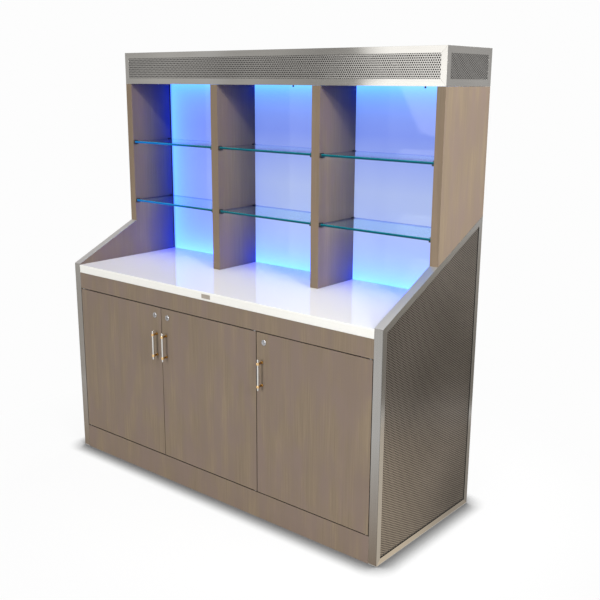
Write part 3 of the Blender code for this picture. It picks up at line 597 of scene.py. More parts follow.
def whole_faces(shape):
    """Joins the triangles of each flat face again."""
    bmesh.ops.dissolve_limit(shape, angle_limit=math.radians(0.5), verts=shape.verts, edges=shape.edges)


def ease_long_edges(shape, width, least=0.05):
    """Rounds the long outer edges of a board or sheet."""
    edges = [edge for edge in shape.edges if len(edge.link_faces) == 2 and edge.calc_length() > least
             and edge.calc_face_angle_signed(0.0) > math.radians(30)]
    bmesh.ops.bevel(shape, geom=edges, offset=width, segments=2, profile=0.5, affect="EDGES",
                    clamp_overlap=True)


def prism_between(shape, outline, axis, low, high):
    """Adds a closed prism: a flat outline given a thickness along one axis."""
    others = [i for i in range(3) if i != axis]

    def corner(point, level):
        place = [0.0, 0.0, 0.0]
        place[axis] = level
        place[others[0]], place[others[1]] = point
        return shape.verts.new(place)

    near = [corner(point, low) for point in outline]
    far = [corner(point, high) for point in outline]
    made = [shape.faces.new(near), shape.faces.new(far)]
    for i in range(len(outline)):
        k = (i + 1) % len(outline)
        made.append(shape.faces.new((near[i], near[k], far[k], far[i])))
    return made


def rectangle(low_u, low_v, high_u, high_v):
    return [(low_u, low_v), (high_u, low_v), (high_u, high_v), (low_u, high_v)]


def rounded_block(shape, low, high, easing):
    faces = prism_between(shape, rectangle(low[X], low[Y], high[X], high[Y]), Z, low[Z], high[Z])
    edges = list({edge for face in faces for edge in face.edges})
    bmesh.ops.bevel(shape, geom=edges, offset=easing, segments=2, profile=0.5, affect="EDGES")


def turned_shape(shape, profile, centre, axis, steps):
    """Adds a lathe shape: pairs of radius and place along an axis, starting and ending on the axis or not."""
    along, u, v = (AXES[(axis + i) % 3] for i in range(3))
    turns = [2 * math.pi * i / steps for i in range(steps)]
    spokes = [math.cos(turn) * u + math.sin(turn) * v for turn in turns]
    rings = []
    for radius, place in profile:
        middle = Vector(centre) + along * place
        if radius < 1e-7:
            rings.append([shape.verts.new(middle)])
        else:
            rings.append([shape.verts.new(middle + radius * spoke) for spoke in spokes])
    for first, second in zip(rings, rings[1:]):
        for i in range(steps):
            k = (i + 1) % steps
            corners = [first[i % len(first)], first[k % len(first)],
                       second[k % len(second)], second[i % len(second)]]
            shape.faces.new(list(dict.fromkeys(corners)))


def inside(outline, point, lap):
    """True if a point lies in a convex outline, drawn anticlockwise, or within lap of it."""
    for (u0, v0), (u1, v1) in zip(outline, outline[1:] + outline[:1]):
        across = (u1 - u0) * (point[1] - v0) - (v1 - v0) * (point[0] - u0)
        if across < -lap * math.hypot(u1 - u0, v1 - v0):
            return False
    return True


def perforated_mesh(name, outline, place, lap, sides, facing):
    """A sheet of six-sided cells in staggered rows, each with a round hole punched in it."""
    row_pitch = PERFORATION_PITCH * math.sin(math.pi / 3)
    corner = PERFORATION_PITCH / math.sqrt(3)
    flat = PERFORATION_PITCH / 2
    turns = [math.pi / 6 + 2 * math.pi * i / sides for i in range(sides)]
    reach = [corner if i % (sides // 6) == 0 else flat for i in range(sides)]
    hole = PERFORATION_HOLE / 2 * math.sqrt(2 * math.pi / (sides * math.sin(2 * math.pi / sides)))
    low_u, high_u = min(p[0] for p in outline), max(p[0] for p in outline)
    low_v, high_v = min(p[1] for p in outline), max(p[1] for p in outline)
    # Corners that round to the same mark are one
    marks_per_metre = 20000
    chart_margin = 0.02
    verts, faces, flats, known = [], [], [], {}

    def shared(u, v):
        key = (round(u * marks_per_metre), round(v * marks_per_metre))
        if key not in known:
            known[key] = len(verts)
            verts.append(place(u, v))
            flats.append((u, v))
        return known[key]

    rows = int((high_v - low_v) / row_pitch) + 3
    columns = int((high_u - low_u) / PERFORATION_PITCH) + 3
    for row in range(-1, rows):
        for column in range(-1, columns):
            u = low_u + (column + 0.5 * (row % 2)) * PERFORATION_PITCH
            v = low_v + row * row_pitch
            if not inside(outline, (u, v), lap):
                continue
            rim = [shared(u + r * math.cos(t), v + r * math.sin(t)) for r, t in zip(reach, turns)]
            first = len(verts)
            for t in turns:
                spot = (u + hole * math.cos(t), v + hole * math.sin(t))
                verts.append(place(*spot))
                flats.append(spot)
            for i in range(sides):
                k = (i + 1) % sides
                loop = (rim[i], rim[k], first + k, first + i)
                faces.append(loop if facing > 0 else loop[::-1])
    mesh = bpy.data.meshes.new(name)
    mesh.from_pydata(verts, [], faces)
    span = max(high_u - low_u, high_v - low_v) + 4 * PERFORATION_PITCH
    chart = mesh.uv_layers.new(name="OFBake")
    spots = []
    for face in faces:
        for i in face:
            u, v = flats[i]
            spots += [(u - low_u) / span + chart_margin, (v - low_v) / span + chart_margin]
    chart.data.foreach_set("uv", spots)
    return mesh


# Boards

def board(node, materials, slot, body="cabinet", easing=BOARD_EASING, ending="board", **inner_faces):
    """A node's own shape without its supports, with its long edges eased."""
    shape = welded_copy(node)
    without_supports(shape, **inner_faces)
    whole_faces(shape)
    ease_long_edges(shape, easing)
    return finish_piece(f"{node}_{ending}", mesh_of(node, shape), materials, body, [node])


def in_door_gap(normal, hinge):
    """True for a door's edges, and for their eased corners at the top, the foot and the hinge side."""
    flat_edge, eased_corner = 0.1, 0.95
    if abs(normal.y) < flat_edge:
        return True
    return abs(normal.y) < eased_corner and (abs(normal.z) > EASED or normal.x * hinge > EASED)


def boards():
    for node, facing in (("plinth_rail", 1), ("apron_rail", -1)):
        rail = board(node, [VENEER, PAINTED_GAP_SHADE], "veneer")
        # Painted shade on the rail's face in the gap by the doors
        paint_faces(rail, PAINTED_GAP_SHADE, lambda face: face.normal.z * facing > EASED)
    soffit = board("header_soffit", [VENEER, PAINTED_SHADE_LINER], "veneer")
    # Painted shade on the soffit's top, inside the header
    paint_faces(soffit, PAINTED_SHADE_LINER, lambda face: face.normal.z > SQUARE)
    for node in ("plinth_stretcher", "base_floor", "base_back", "base_shelf_left", "base_shelf_right",
                 "hutch_back"):
        board(node, [CARCASS], "carcass_board")
    for door in DOORS:
        leaf = board(f"door_{door}", [VENEER, PAINTED_GAP_SHADE], "veneer", f"{door}_door", DOOR_EASING)
        hinge = -1 if door == "left" else 1
        # Painted shade on the door's edges in the gaps
        paint_faces(leaf, PAINTED_GAP_SHADE, lambda face: in_door_gap(face.normal, hinge))
    board("countertop", [COUNTER], "solid_surface", easing=COUNTER_EASING)


def end_panels():
    near_front = 0.001
    for side, name in SIDES:
        inner_face = {"high": -INNER_X} if side < 0 else {"low": INNER_X}
        piece = board(f"{name}_end_panel", [VENEER, EDGE_BAND, PAINTED_SHADE_LINER, VENEER_WITH_PAINTED_LIGHT], "veneer", **inner_face)
        # Painted light from the panel on the bays' inner faces
        paint_faces(piece, VENEER_WITH_PAINTED_LIGHT, lambda face: face.normal.x * side < -SQUARE)
        paint_faces(piece, EDGE_BAND, lambda face: face.normal.y < -SQUARE
                    and abs(face.center.y - HUTCH_FRONT) < near_front)
        # Painted shade on the outer faces behind the perforated sheets
        paint_faces(piece, PAINTED_SHADE_LINER, lambda face: face.normal.x * side > SQUARE
                    and face.center.x * side < INFILL_FACE)


def partitions():
    """The partitions of the hutch and the base. Gives the inner faces of the one in the base."""
    for name, before, after in (("left", "left", "centre"), ("right", "centre", "right")):
        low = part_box(f"glass_shelf_{before}_lower")[1].x + SHELF_PLAY
        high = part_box(f"glass_shelf_{after}_lower")[0].x - SHELF_PLAY
        # Painted light from the panel on the partitions' faces
        piece = board(f"hutch_partition_{name}", [VENEER_WITH_PAINTED_LIGHT, EDGE_BAND], "veneer", low=low, high=high)
        paint_faces(piece, EDGE_BAND, lambda face: face.normal.y < -SQUARE)
    wall_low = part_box("base_shelf_left")[1].x + BASE_SHELF_PLAY
    wall_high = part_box("base_shelf_right")[0].x - BASE_SHELF_PLAY
    board("base_partition", [CARCASS], "carcass_board", low=wall_low, high=wall_high)
    return wall_low, wall_high


# Shelf supports

def glass_clips():
    """Black clips that hold each glass shelf from below and above, with a lip at its front left corner."""
    length, inset = 0.016, 0.003
    under_reach, under_height = 0.012, 0.006
    over_reach, over_height, over_inset = 0.009, 0.003, 0.001
    lip_drop, lip_thickness = 0.005, 0.0015
    button = [(0.0, -0.0071), (0.0022, -0.0071), (0.0026, -0.0064)]
    shape = bmesh.new()
    for node in GLASS_SHELVES:
        low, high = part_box(node)
        below, above = low.z - FIT, high.z + FIT
        for wall, facing in ((low.x - SHELF_PLAY, 1), (high.x + SHELF_PLAY, -1)):
            for y in (low.y + inset, high.y - inset - length):
                x0, x1 = sorted((wall, wall + facing * under_reach))
                rounded_block(shape, (x0, y, below - under_height), (x1, y + length, below), easing=0.001)
                x0, x1 = sorted((wall, wall + facing * over_reach))
                rounded_block(shape, (x0, y + over_inset, above),
                              (x1, y + length - over_inset, above + over_height), easing=0.0008)
                middle = (wall + facing * under_reach / 2, y + length / 2, low.z)
                turned_shape(shape, button, middle, Z, steps=16)
        lip = low.x - SHELF_PLAY
        rounded_block(shape, (lip, low.y - FIT - lip_thickness, low.z - lip_drop),
                      (lip + over_reach, low.y - FIT, above + over_height), easing=0.0004)
    added_piece("glass_shelf_clips", shape, CLIP)


def base_shelf_pins(wall_low, wall_high):
    """Steel pins with a flat spoon under each corner of the base shelves."""
    inset, drop = 0.011, 0.0037
    spoon_start, spoon_end, spoon_half_width, spoon_thickness = 0.0012, 0.012, 0.005, 0.0015
    pin = [(0.0, 0.0115), (0.002, 0.0115), (0.0024, 0.011), (0.0024, 0.0014), (0.0045, 0.0013), (0.0045, 0.0),
           (0.0, 0.0)]
    shape = bmesh.new()
    shelves = (("base_shelf_left", -INNER_X, wall_low), ("base_shelf_right", wall_high, INNER_X))
    for node, left, right in shelves:
        low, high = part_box(node)
        top = low.z - FIT
        for wall, facing in ((left, 1), (right, -1)):
            inward_pin = [(radius, facing * out) for radius, out in pin]
            for y in (low.y + inset, high.y - inset):
                x0, x1 = sorted((wall + facing * spoon_start, wall + facing * spoon_end))
                rounded_block(shape, (x0, y - spoon_half_width, top - spoon_thickness),
                              (x1, y + spoon_half_width, top), easing=0.0006)
                turned_shape(shape, inward_pin, (wall, y, low.z - drop), X, steps=20)
    added_piece("base_shelf_pins", shape, PLAIN_STEEL)


# Stainless trim and perforated sides

def slant_height(y, below=0.0):
    return SLANT_FRONT + (y - FRONT) * math.tan(SLANT) - below / math.cos(SLANT)


def flank(inset):
    """The lower flank of an end panel, anticlockwise from its front foot, drawn in on every side."""
    front, rear = FRONT + inset, REAR - inset
    return [(front, inset), (rear, inset), (rear, slant_height(rear, inset)),
            (front, slant_height(front, inset))]


def end_trims():
    """A frame on each outer face, with a cap on the panel's front edge and one on its slope."""
    # Painted reflection on the foot strip
    materials = [STEEL_ALONG_Z, STEEL_ALONG_SLANT, FOOT_STEEL_PAINTED_REFLECTION, CAP_STEEL_PAINTED_LIGHT]
    # Painted light on the sloping cap
    upright, slant, foot, sloping_cap = range(4)
    outer_ring, inner_ring = flank(0.0), flank(TRIM_WIDTH)
    behind = FRONT + SHEET
    stop = HUTCH_FRONT - FIT
    short_of_face = 0.00005
    front_cap = [(FRONT, 0.0), (behind, 0.0), (behind, slant_height(behind, SHEET)),
                 (FRONT, slant_height(FRONT))]
    slope_cap = [(FRONT, slant_height(FRONT)), (behind, slant_height(behind, SHEET)),
                 (stop, slant_height(stop, SHEET)), (stop, slant_height(stop))]
    for side, name in SIDES:
        frame_depth = sorted((side * OUTER_X, side * (OUTER_X - SHEET)))
        cap_width = sorted((side * INNER_X, side * (OUTER_X - short_of_face)))
        strips = []
        for i, k, material in ((0, 1, foot), (1, 2, upright), (2, 3, slant), (3, 0, upright)):
            outline = [outer_ring[i], outer_ring[k], inner_ring[k], inner_ring[i]]
            strips.append((outline, frame_depth, material))
        strips.append((front_cap, cap_width, upright))
        strips.append((slope_cap, cap_width, sloping_cap))
        shape = bmesh.new()
        for outline, span, material in strips:
            for face in prism_between(shape, outline, X, *span):
                face.material_index = material
        closed(shape)
        ease_long_edges(shape, SHEET_EASING, least=0.02)
        node = f"{name}_end_trim"
        finish_piece(f"{node}_steel", mesh_of(node, shape), materials, "cabinet", [node])


def side_sheets():
    """The sheets lap behind the trim at the front and the slope, and end short of it at the rear and foot."""
    foot_gap, rear_gap, hole_sides = 0.006, 0.0085, 6
    front, foot = FRONT + TRIM_WIDTH, TRIM_WIDTH + SHEET_LAP + foot_gap
    rear = REAR - TRIM_WIDTH - SHEET_LAP - rear_gap
    outline = [(slant_height(front, TRIM_WIDTH), front), (slant_height(rear, TRIM_WIDTH), rear), (foot, rear),
               (foot, front)]
    for side, name in SIDES:
        x = side * INFILL_FACE
        mesh = perforated_mesh(f"{name}_side_sheet", outline, lambda u, v: (x, v, u), SHEET_LAP, hole_sides,
                               -side)
        # The sheet's colour holds painted shade and a painted warm reflection
        finish_piece(f"{name}_side_sheet", mesh, [SHEET_STEEL_PAINTED_SHADE], "cabinet",
                     [f"{name}_side_infill"], even=False)


# Header

def header_wall(node, axis, face, inward, start, end, steel):
    """A plain border and, a little behind its face, the perforated sheet in its window."""
    border, sheet_depth, hole_sides = HEADER_BORDER, 0.0006, 12
    outer = rectangle(start, HEADER_FOOT, end, HEADER_TOP)
    window = rectangle(start + border, HEADER_FOOT + border, end - border, HEADER_TOP - border)
    # The ends start behind the front's sheet
    if axis == X:
        outer = [(max(u, HUTCH_FRONT + SHEET + FIT), v) for u, v in outer]
    shape = bmesh.new()
    for i in range(4):
        k = (i + 1) % 4
        depth = sorted((face, face + inward * SHEET))
        for one in prism_between(shape, [outer[i], outer[k], window[k], window[i]], axis, *depth):
            one.material_index = i % 2
    closed(shape)
    ease_long_edges(shape, SHEET_EASING, least=0.01)
    finish_piece(f"{node}_border", mesh_of(f"{node}_border", shape), [steel, STEEL_ALONG_Z], "cabinet",
                 [node])
    level = face + inward * sheet_depth
    if axis == Y:
        mesh = perforated_mesh(f"{node}_sheet", window, lambda u, v: (u, level, v), HEADER_LAP, hole_sides, 1)
    else:
        rows_upright = [(v, u) for u, v in reversed(window)]
        mesh = perforated_mesh(f"{node}_sheet", rows_upright, lambda u, v: (level, v, u), HEADER_LAP,
                               hole_sides, inward)
    finish_piece(f"{node}_sheet", mesh, [HEADER_SHEET_STEEL], "cabinet", even=False)


def header_liner():
    """A dark sheet behind the perforated front and ends: painted shade, which the holes show."""
    low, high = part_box("header_soffit")[1].z + 0.0006, HEADER_TOP - 0.004
    gap = 0.009
    x, front, behind = OUTER_X - gap, HUTCH_FRONT + gap, HUTCH_FRONT + gap + SHEET
    shape = bmesh.new()
    prism_between(shape, rectangle(-x, front, x, behind), Z, low, high)
    for side in (-1, 1):
        x0, x1 = sorted((side * x, side * (x - SHEET)))
        prism_between(shape, rectangle(x0, behind, x1, REAR - gap), Z, low, high)
    added_piece("header_painted_shade_sheet", shape, PAINTED_SHADE_LINER)


def header():
    header_wall("header_front", Y, HUTCH_FRONT, 1, -OUTER_X, OUTER_X, STEEL_ALONG_X)
    for side, name in SIDES:
        header_wall(f"header_end_{name}", X, side * OUTER_X, -side, HUTCH_FRONT, REAR, STEEL_ALONG_Y)
    header_liner()
    for node in ("header_lid", "header_back"):
        piece = board(node, [STEEL_ALONG_X, PAINTED_SHADE_LINER], "stainless", easing=SHEET_EASING, ending="sheet")
        # Painted shade on the inner faces of the lid and back
        paint_faces(piece, PAINTED_SHADE_LINER, lambda face: face.normal.z < -SQUARE or face.normal.y < -SQUARE)


# Glass shelves

def glass_shelves():
    for node in GLASS_SHELVES:
        shape = bmesh.new()
        rounded_block(shape, *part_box(node), GLASS_ARRIS)
        piece = finish_piece(f"{node}_pane", mesh_of(node, closed(shape)),
                             [GLASS, GLASS_EDGE_PAINTED_LIGHT, GLASS_REAR_PAINTED_GLOW, GLASS_SIDE_PAINTED_SHADE], "cabinet", [node])
        # Painted light and shade on the pane's edges
        paint_faces(piece, GLASS_EDGE_PAINTED_LIGHT, lambda face: abs(face.normal.z) < SQUARE)
        paint_faces(piece, GLASS_REAR_PAINTED_GLOW, lambda face: face.normal.y > SQUARE)
        paint_faces(piece, GLASS_SIDE_PAINTED_SHADE, lambda face: abs(face.normal.x) > SQUARE)
        piece.visible_shadow = False


# Pulls and locks

def mirrored(profile):
    """A profile with its upper half repeated below."""
    return profile + [(radius, -place) for radius, place in reversed(profile)]


def bar_pulls():
    bar_rounding = 0.0018
    for door in DOORS:
        body = f"{door}_door"
        low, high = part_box(f"handle_bar_{door}")
        centre = (low + high) / 2
        radius, half = (high.x - low.x) / 2, (high.z - low.z) / 2
        end = [(radius - bar_rounding * (1 - math.sin(turn)), half - bar_rounding * (1 - math.cos(turn)))
               for turn in (math.pi / 8 * i for i in range(5))]
        shape = bmesh.new()
        turned_shape(shape, mirrored([(0.0, half)] + end), centre, Z, steps=48)
        finish_piece(f"pull_bar_{door}", mesh_of("pull_bar", closed(shape)), [SATIN_NICKEL], body,
                     [f"handle_bar_{door}"])
        for level in ("upper", "lower"):
            node = f"handle_post_{door}_{level}"
            post_low, post_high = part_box(node)
            place = (centre.x, centre.y, (post_low.z + post_high.z) / 2)
            collar, half_collar = (post_high.x - post_low.x) / 2, (post_high.z - post_low.z) / 2
            reach = post_high.y - centre.y
            ring = [(radius + 0.0001, half_collar), (collar - 0.0012, half_collar),
                    (collar - 0.0003, half_collar - 0.0005), (collar, half_collar - 0.0014),
                    (collar - 0.0004, 0.0016)]
            post = [(0.0040, collar - 0.001), (0.0040, reach - 0.0045), (0.0044, reach - 0.0036),
                    (0.0056, reach - 0.0028), (0.0060, reach - 0.0016), (0.0060, reach - 0.0003),
                    (0.0057, reach), (0.0, reach)]
            shape = bmesh.new()
            turned_shape(shape, mirrored(ring), place, Z, steps=48)
            turned_shape(shape, post, place, Y, steps=40)
            piece = finish_piece(f"pull_post_{door}_{level}", mesh_of("pull_post", closed(shape)),
                                 [BRASS, POST_BRASS_PAINTED_SHADE], body, [node])
            # Painted shade on the posts
            paint_faces(piece, POST_BRASS_PAINTED_SHADE, lambda face: face.center.y > centre.y + collar - 0.0008)


def cam_locks():
    """The housing of each lock: a domed rim on the door's face, a round body and a six-sided nut behind."""
    body_radius, rim_radius, nut_radius = 0.0095, 0.0125, 0.0129
    nut_corners = [math.pi / 6 + math.pi / 3 * i for i in range(6)]
    nut_front, bore_step, body_end = FRONT + 0.0194, FRONT + 0.018, FRONT + 0.0222
    for door in DOORS:
        low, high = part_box(f"lock_housing_{door}")
        plug_low, plug_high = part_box(f"lock_plug_{door}")
        x, z = (plug_low.x + plug_high.x) / 2, (plug_low.z + plug_high.z) / 2
        bore = (plug_high.x - plug_low.x) / 2 + FIT
        face = low.y
        nut_rear = high.y - 0.0001
        housing = [(bore, bore_step), (bore, face + 0.0004), (bore + 0.0005, face),
                   (bore + 0.0018, face + 0.00005), (0.0105, face + 0.0005), (0.0118, face + 0.0011),
                   (0.0124, face + 0.0019), (rim_radius, FRONT - FIT), (body_radius, FRONT - 0.0002),
                   (body_radius, body_end), (bore, body_end), (bore, bore_step)]
        nut = [(x + nut_radius * math.cos(turn), z + nut_radius * math.sin(turn)) for turn in nut_corners]
        shape = bmesh.new()
        turned_shape(shape, housing, (x, 0.0, z), Y, steps=48)
        nut_faces = prism_between(shape, nut, Y, nut_front, nut_rear)
        bmesh.ops.delete(shape, geom=[one for one in nut_faces if len(one.verts) == 6], context="FACES_ONLY")
        for y in (nut_front, nut_rear):
            turned_shape(shape, [(0.0096, y), (0.0112, y)], (x, 0.0, z), Y, steps=48)
        # Painted shade in the lock's chrome
        finish_piece(f"lock_body_{door}", mesh_of("lock_body", closed(shape)), [CHROME_PAINTED_SHADE], f"{door}_door",
                     [f"lock_housing_{door}"])


# Small parts

def counter_plate():
    """A bare metal plate on the middle of the counter's front edge."""
    half_width, half_height, proud, sunk = 0.025, 0.009, 0.0009, 0.0004
    z = (COUNTER_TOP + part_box("apron_rail")[1].z) / 2
    shape = bmesh.new()
    low = (-half_width, FRONT - proud, z - half_height)
    high = (half_width, FRONT + sunk, z + half_height)
    rounded_block(shape, low, high, easing=0.0004)
    added_piece("counter_plate", shape, BARE_PLATE)


def panel_studs():
    """Two dark buttons at the top of the glowing panel, in the centre and right bays."""
    drop = 0.0047
    stud = [(0.0, -0.0040), (0.0022, -0.0038), (0.0038, -0.0028), (0.0044, -0.0012), (0.0045, 0.0002)]
    shape = bmesh.new()
    for x in (-0.037, 0.649):
        turned_shape(shape, stud, (x, PANEL_FACE, HEADER_FOOT - drop), Y, steps=32)
    added_piece("panel_studs", shape, STUD)


def panel_beads():
    """A slim bead down each outer corner of the glowing panel, dark with painted shade for the corner."""
    width, front, rear = 0.0037, PANEL_FACE - 0.0022, PANEL_FACE - 0.0002
    foot, head = COUNTER_TOP + 0.0006, HEADER_FOOT - 0.0008
    shape = bmesh.new()
    for side in (-1, 1):
        x0, x1 = sorted((side * (INNER_X - FIT), side * (INNER_X - FIT - width)))
        rounded_block(shape, (x0, front, foot), (x1, rear, head), easing=0.0004)
    added_piece("panel_beads", shape, PAINTED_SHADE_LINER)


def back_screws():
    """Screws with domed heads round the two back boards."""
    inset = 0.012
    head = [(0.0, -0.0002), (0.0012, -0.0002), (0.0016, -0.00005), (0.0034, -0.0005), (0.0039, -0.0010)]
    shape = bmesh.new()
    for node in ("base_back", "hutch_back"):
        low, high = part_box(node)
        across = [low.x + inset + (high.x - low.x - 2 * inset) * i / 8 for i in range(9)]
        up = [low.z + inset + (high.z - low.z - 2 * inset) * i / 4 for i in range(5)]
        spots = [(x, z) for x in across for z in (up[0], up[-1])]
        spots += [(x, z) for z in up[1:-1] for x in (across[0], across[-1])]
        for x, z in spots:
            turned_shape(shape, head, (x, high.y, z), Y, steps=16)
    added_piece("back_screws", shape, PLAIN_STEEL)


def carried_over():
    """Nodes that keep their own shape and get a finish."""
    finishes = {"light_panel": ACRYLIC, "led_frame": ALUMINIUM, "led_driver": DRIVER_CASE}
    for door in DOORS:
        finishes[f"lock_plug_{door}"] = CHROME_PAINTED_SHADE
        finishes[f"lock_cam_{door}"] = PLAIN_STEEL
        finishes[f"pivot_{door}_top"] = PLAIN_STEEL
        finishes[f"pivot_{door}_bottom"] = PLAIN_STEEL
    for node, material in finishes.items():
        for place in frame["nodes"][node].material_slots:
            place.material = material


boards()
end_panels()
base_shelf_pins(*partitions())
glass_clips()
end_trims()
side_sheets()
header()
glass_shelves()
bar_pulls()
cam_locks()
counter_plate()
panel_studs()
panel_beads()
back_screws()
carried_over()


# Stage

FILL = 0.07
PAPER_WHITE = (0.982, 0.982, 0.982, 1)
CARD_WHITE = (1.0, 1.0, 0.985, 1)
CONTACT_SHADE = (0.08, 0.08, 0.08, 1)


def bare_material(name):
    """A material with no shader yet, its nodes and the socket that its shader goes to."""
    material = bpy.data.materials.new(name)
    material.use_nodes = True
    tree = material.node_tree
    tree.nodes.remove(tree.nodes["Principled BSDF"])
    return material, tree, tree.nodes["Material Output"].inputs["Surface"]


def mixed_shader(tree, factor, a, b):
    return add(tree, "MixShader", [(0, factor), (1, a), (2, b)]).outputs[0]


def floor():
    """White paper with a soft shadow close to the cabinet. It lights the cabinet as a grey would."""
    half_size, lowered = 30.0, 0.0004
    shape = bmesh.new()
    bmesh.ops.create_grid(shape, x_segments=1, y_segments=1, size=half_size)
    mesh = mesh_of("floor", shape)
    material, tree, surface = bare_material("white_floor")
    bounce = add(tree, "BsdfDiffuse", [("Color", (0.45, 0.45, 0.45, 1))]).outputs[0]
    paper = add(tree, "BsdfDiffuse", [("Color", (0.92, 0.92, 0.92, 1))]).outputs[0]
    near = add(tree, "AmbientOcclusion", [("Distance", 0.09)], samples=8).outputs["AO"]
    open_air = maths(tree, "POWER", ranged(tree, near, 0.55, 0.99), 1.5)
    shade = mixed(tree, open_air, CONTACT_SHADE, PAPER_WHITE)
    direct = add(tree, "LightPath").outputs["Is Camera Ray"]
    white = add(tree, "Emission", [("Color", mixed(tree, direct, PAPER_WHITE, shade))]).outputs[0]
    away = add(tree, "VectorMath", [(0, local(tree))], operation="LENGTH").outputs["Value"]
    lit = mixed_shader(tree, ranged(tree, away, 0.9, 1.6, 0.12, 0.0), white, paper)
    tree.links.new(mixed_shader(tree, showing(tree), bounce, lit), surface)
    mesh.materials.append(material)
    ground = bpy.data.objects.new("floor", mesh)
    ground.location.z = -lowered
    scene.collection.objects.link(ground)


def flag(name, corners, near, far, start, end, strength=1.0):
    """A studio card that only reflections show. Its shade runs from near to far along a line."""
    mesh = bpy.data.meshes.new(name)
    mesh.from_pydata(corners, [], [tuple(range(len(corners)))])
    material, tree, surface = bare_material(name)
    line = Vector(end) - Vector(start)
    offset = vectors(tree, "SUBTRACT", local(tree), tuple(start))
    along = ranged(tree, dot(tree, offset, tuple(line / line.length_squared)), 0.0, 1.0)
    card = add(tree, "Emission", [("Color", mixed(tree, along, near, far)), ("Strength", strength)])
    tree.links.new(card.outputs[0], surface)
    mesh.materials.append(material)
    thing = bpy.data.objects.new(name, mesh)
    scene.collection.objects.link(thing)
    for ray in ("camera", "diffuse", "transmission", "volume_scatter", "shadow"):
        setattr(thing, f"visible_{ray}", False)


def floor_flag(name, spots, near, far, start, end):
    """A card that lies just above the floor."""
    lift = 0.002
    flag(name, [(x, y, lift) for x, y in spots], near, far, (*start, lift), (*end, lift))


def upright(first, second, foot, head):
    """The corners of an upright card over a line on the floor."""
    return [(*first, foot), (*second, foot), (*second, head), (*first, head)]


def flags():
    floor_flag("right_floor_flag", [(3.26, -0.33), (7.37, 4.04), (3.00, 8.15), (-1.11, 3.78)],
               (0.35, 0.325, 0.290, 1), (0.66, 0.63, 0.585, 1), (1.80, 1.04), (5.91, 5.41))
    floor_flag("front_floor_flag", rectangle(-1.7, -1.25, 2.2, -0.329),
               (0.52, 0.42, 0.33, 1), (0.93, 0.925, 0.92, 1), (0.0, -0.33), (0.0, -1.25))
    floor_flag("right_near_flag", [(0.8895, -0.5), (3.1, -0.5), (-1.1, 3.7), (0.8895, 1.6)],
               (1.0, 0.90, 0.76, 1), (0.53, 0.49, 0.44, 1), (1.24, 0.33), (1.05, 0.455))
    floor_flag("left_floor_flag", rectangle(-5.5, -3.6, -1.75, -0.4),
               (0.66, 0.62, 0.58, 1), (0.74, 0.72, 0.69, 1), (-1.75, -0.4), (-5.5, -3.6))
    flag("right_back_flag", upright((1.9, 7.4), (6.6, 4.9), 0.2, 4.0),
         (0.80, 0.79, 0.78, 1), (0.84, 0.83, 0.82, 1), (1.9, 7.4, 0.2), (6.6, 4.9, 0.2))
    flag("left_flag_near", upright((-2.85, -2.6), (-1.0, -2.6), 0.4, 3.2),
         (0.60, 0.59, 0.57, 1), (0.86, 0.85, 0.83, 1), (-1.25, -2.6, 0.4), (-2.85, -2.6, 0.4))
    flag("left_flag_far", upright((-4.6, -2.6), (-3.1, -2.6), 0.4, 3.2),
         (0.90, 0.89, 0.87, 1), (0.76, 0.75, 0.73, 1), (-3.1, -2.6, 0.4), (-4.6, -2.6, 0.4))
    flag("left_high_flag", upright((-3.3, -0.8), (-3.3, 2.4), 1.3, 4.2),
         (0.52, 0.49, 0.48, 1), (0.56, 0.53, 0.52, 1), (-3.3, -0.8, 1.3), (-3.3, 2.4, 1.3))
    panel_card = [(-1.25, 1.756), (-1.05, 1.41), (-0.80, 1.36), (0.2, 1.36), (0.2, 1.756)]
    flag("panel_card", [(x, -2.42, z) for x, z in panel_card],
         CARD_WHITE, CARD_WHITE, (-1.25, -2.42, 1.4), (0.2, -2.42, 1.4), strength=2.75)
    flag("header_card", upright((-1.255, -2.42), (0.2, -2.42), 1.757, 2.6),
         (0.52, 0.515, 0.505, 1), CARD_WHITE, (-1.255, -2.42, 1.9), (-1.02, -2.42, 1.9), strength=2.6)


def world():
    """White to the eye, and a weak fill for the cabinet."""
    scene.world = bpy.data.worlds.new("studio")
    scene.world.use_nodes = True
    tree = scene.world.node_tree
    fill = tree.nodes["Background"]
    fill.inputs["Color"].default_value = (0.98, 0.99, 1.0, 1)
    fill.inputs["Strength"].default_value = FILL
    white = add(tree, "Background", [("Color", PAPER_WHITE), ("Strength", 1.0)]).outputs[0]
    end = mixed_shader(tree, showing(tree), fill.outputs[0], white)
    tree.links.new(end, tree.nodes["World Output"].inputs["Surface"])


def hang_lamp(name, lamp, place, target):
    thing = bpy.data.objects.new(name, lamp)
    scene.collection.objects.link(thing)
    thing.location = place
    thing.rotation_euler = (Vector(target) - Vector(place)).to_track_quat("-Z", "Y").to_euler()
    return thing


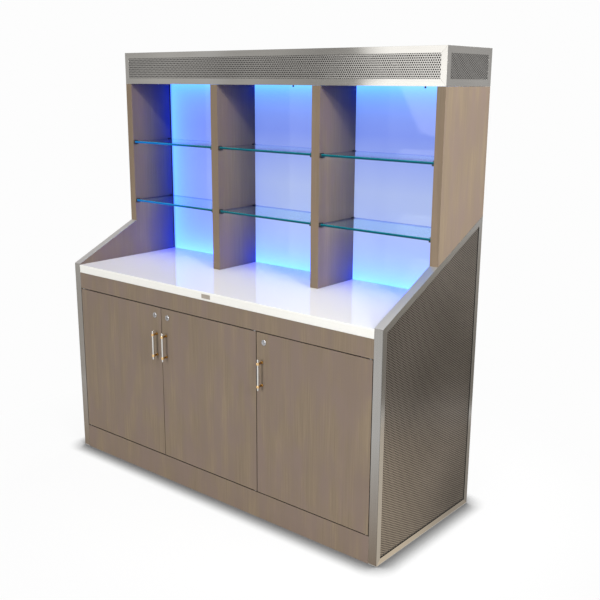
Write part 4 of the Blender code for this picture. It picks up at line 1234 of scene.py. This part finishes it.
def sun(name, toward, strength):
    """A far lamp, given the way from the cabinet to it."""
    lamp = bpy.data.lights.new(name, "SUN")
    lamp.energy = strength
    lamp.angle = math.radians(24.0)
    hang_lamp(name, lamp, Vector(toward).normalized() * 6, (0, 0, 0))


def softbox(name, place, target, width, height, power, colour=(1, 1, 1)):
    """A lamp with a broad face, which neither the camera nor reflections show."""
    lamp = bpy.data.lights.new(name, "AREA")
    lamp.shape = "RECTANGLE"
    lamp.size, lamp.size_y = width, height
    lamp.energy = power
    lamp.color = colour
    thing = hang_lamp(name, lamp, place, target)
    thing.visible_camera = False
    thing.visible_glossy = False


floor()
flags()
world()
softbox("side_key", (4.28, -2.0, 3.7), (0.2, 0.1, 1.3), width=0.30, height=0.30, power=74)
softbox("side_wide", (4.28, -1.07, 2.57), (0.2, 0.1, 1.3), width=1.4, height=0.26, power=80)
sun("overhead", (0.0, -0.07, 0.99), strength=1.80)
sun("frontal", (0.0, -0.97, 0.21), strength=1.76)
sun("rear", (0.0, 0.95, 0.30), strength=0.9)
softbox("right_wash", (4.0, 0.9, 1.8), (0.8, 0.2, 1.2), width=1.6, height=1.6, power=56,
        colour=(1.0, 0.97, 0.93))


# Camera, at the photograph's place

def camera():
    eye = Vector((2.53794, -2.77597, 1.76977))
    azimuth, elevation, roll = math.radians(-39.654), math.radians(-14.019), math.radians(-0.367)
    forward = Vector((math.sin(azimuth) * math.cos(elevation), math.cos(azimuth) * math.cos(elevation),
                      math.sin(elevation)))
    level_right = forward.cross(Vector((0, 0, 1))).normalized()
    level_down = forward.cross(level_right)
    right = math.cos(roll) * level_right + math.sin(roll) * level_down
    down = math.cos(roll) * level_down - math.sin(roll) * level_right
    lens = bpy.data.cameras.new("photo_camera")
    lens.sensor_width = 36.0
    lens.lens = 52.21
    lens.clip_end = 100.0
    thing = bpy.data.objects.new("photo_camera", lens)
    scene.collection.objects.link(thing)
    turn = Matrix((right, -down, -forward)).transposed()
    thing.matrix_world = Matrix.Translation(eye) @ turn.to_4x4()
    scene.camera = thing


camera()
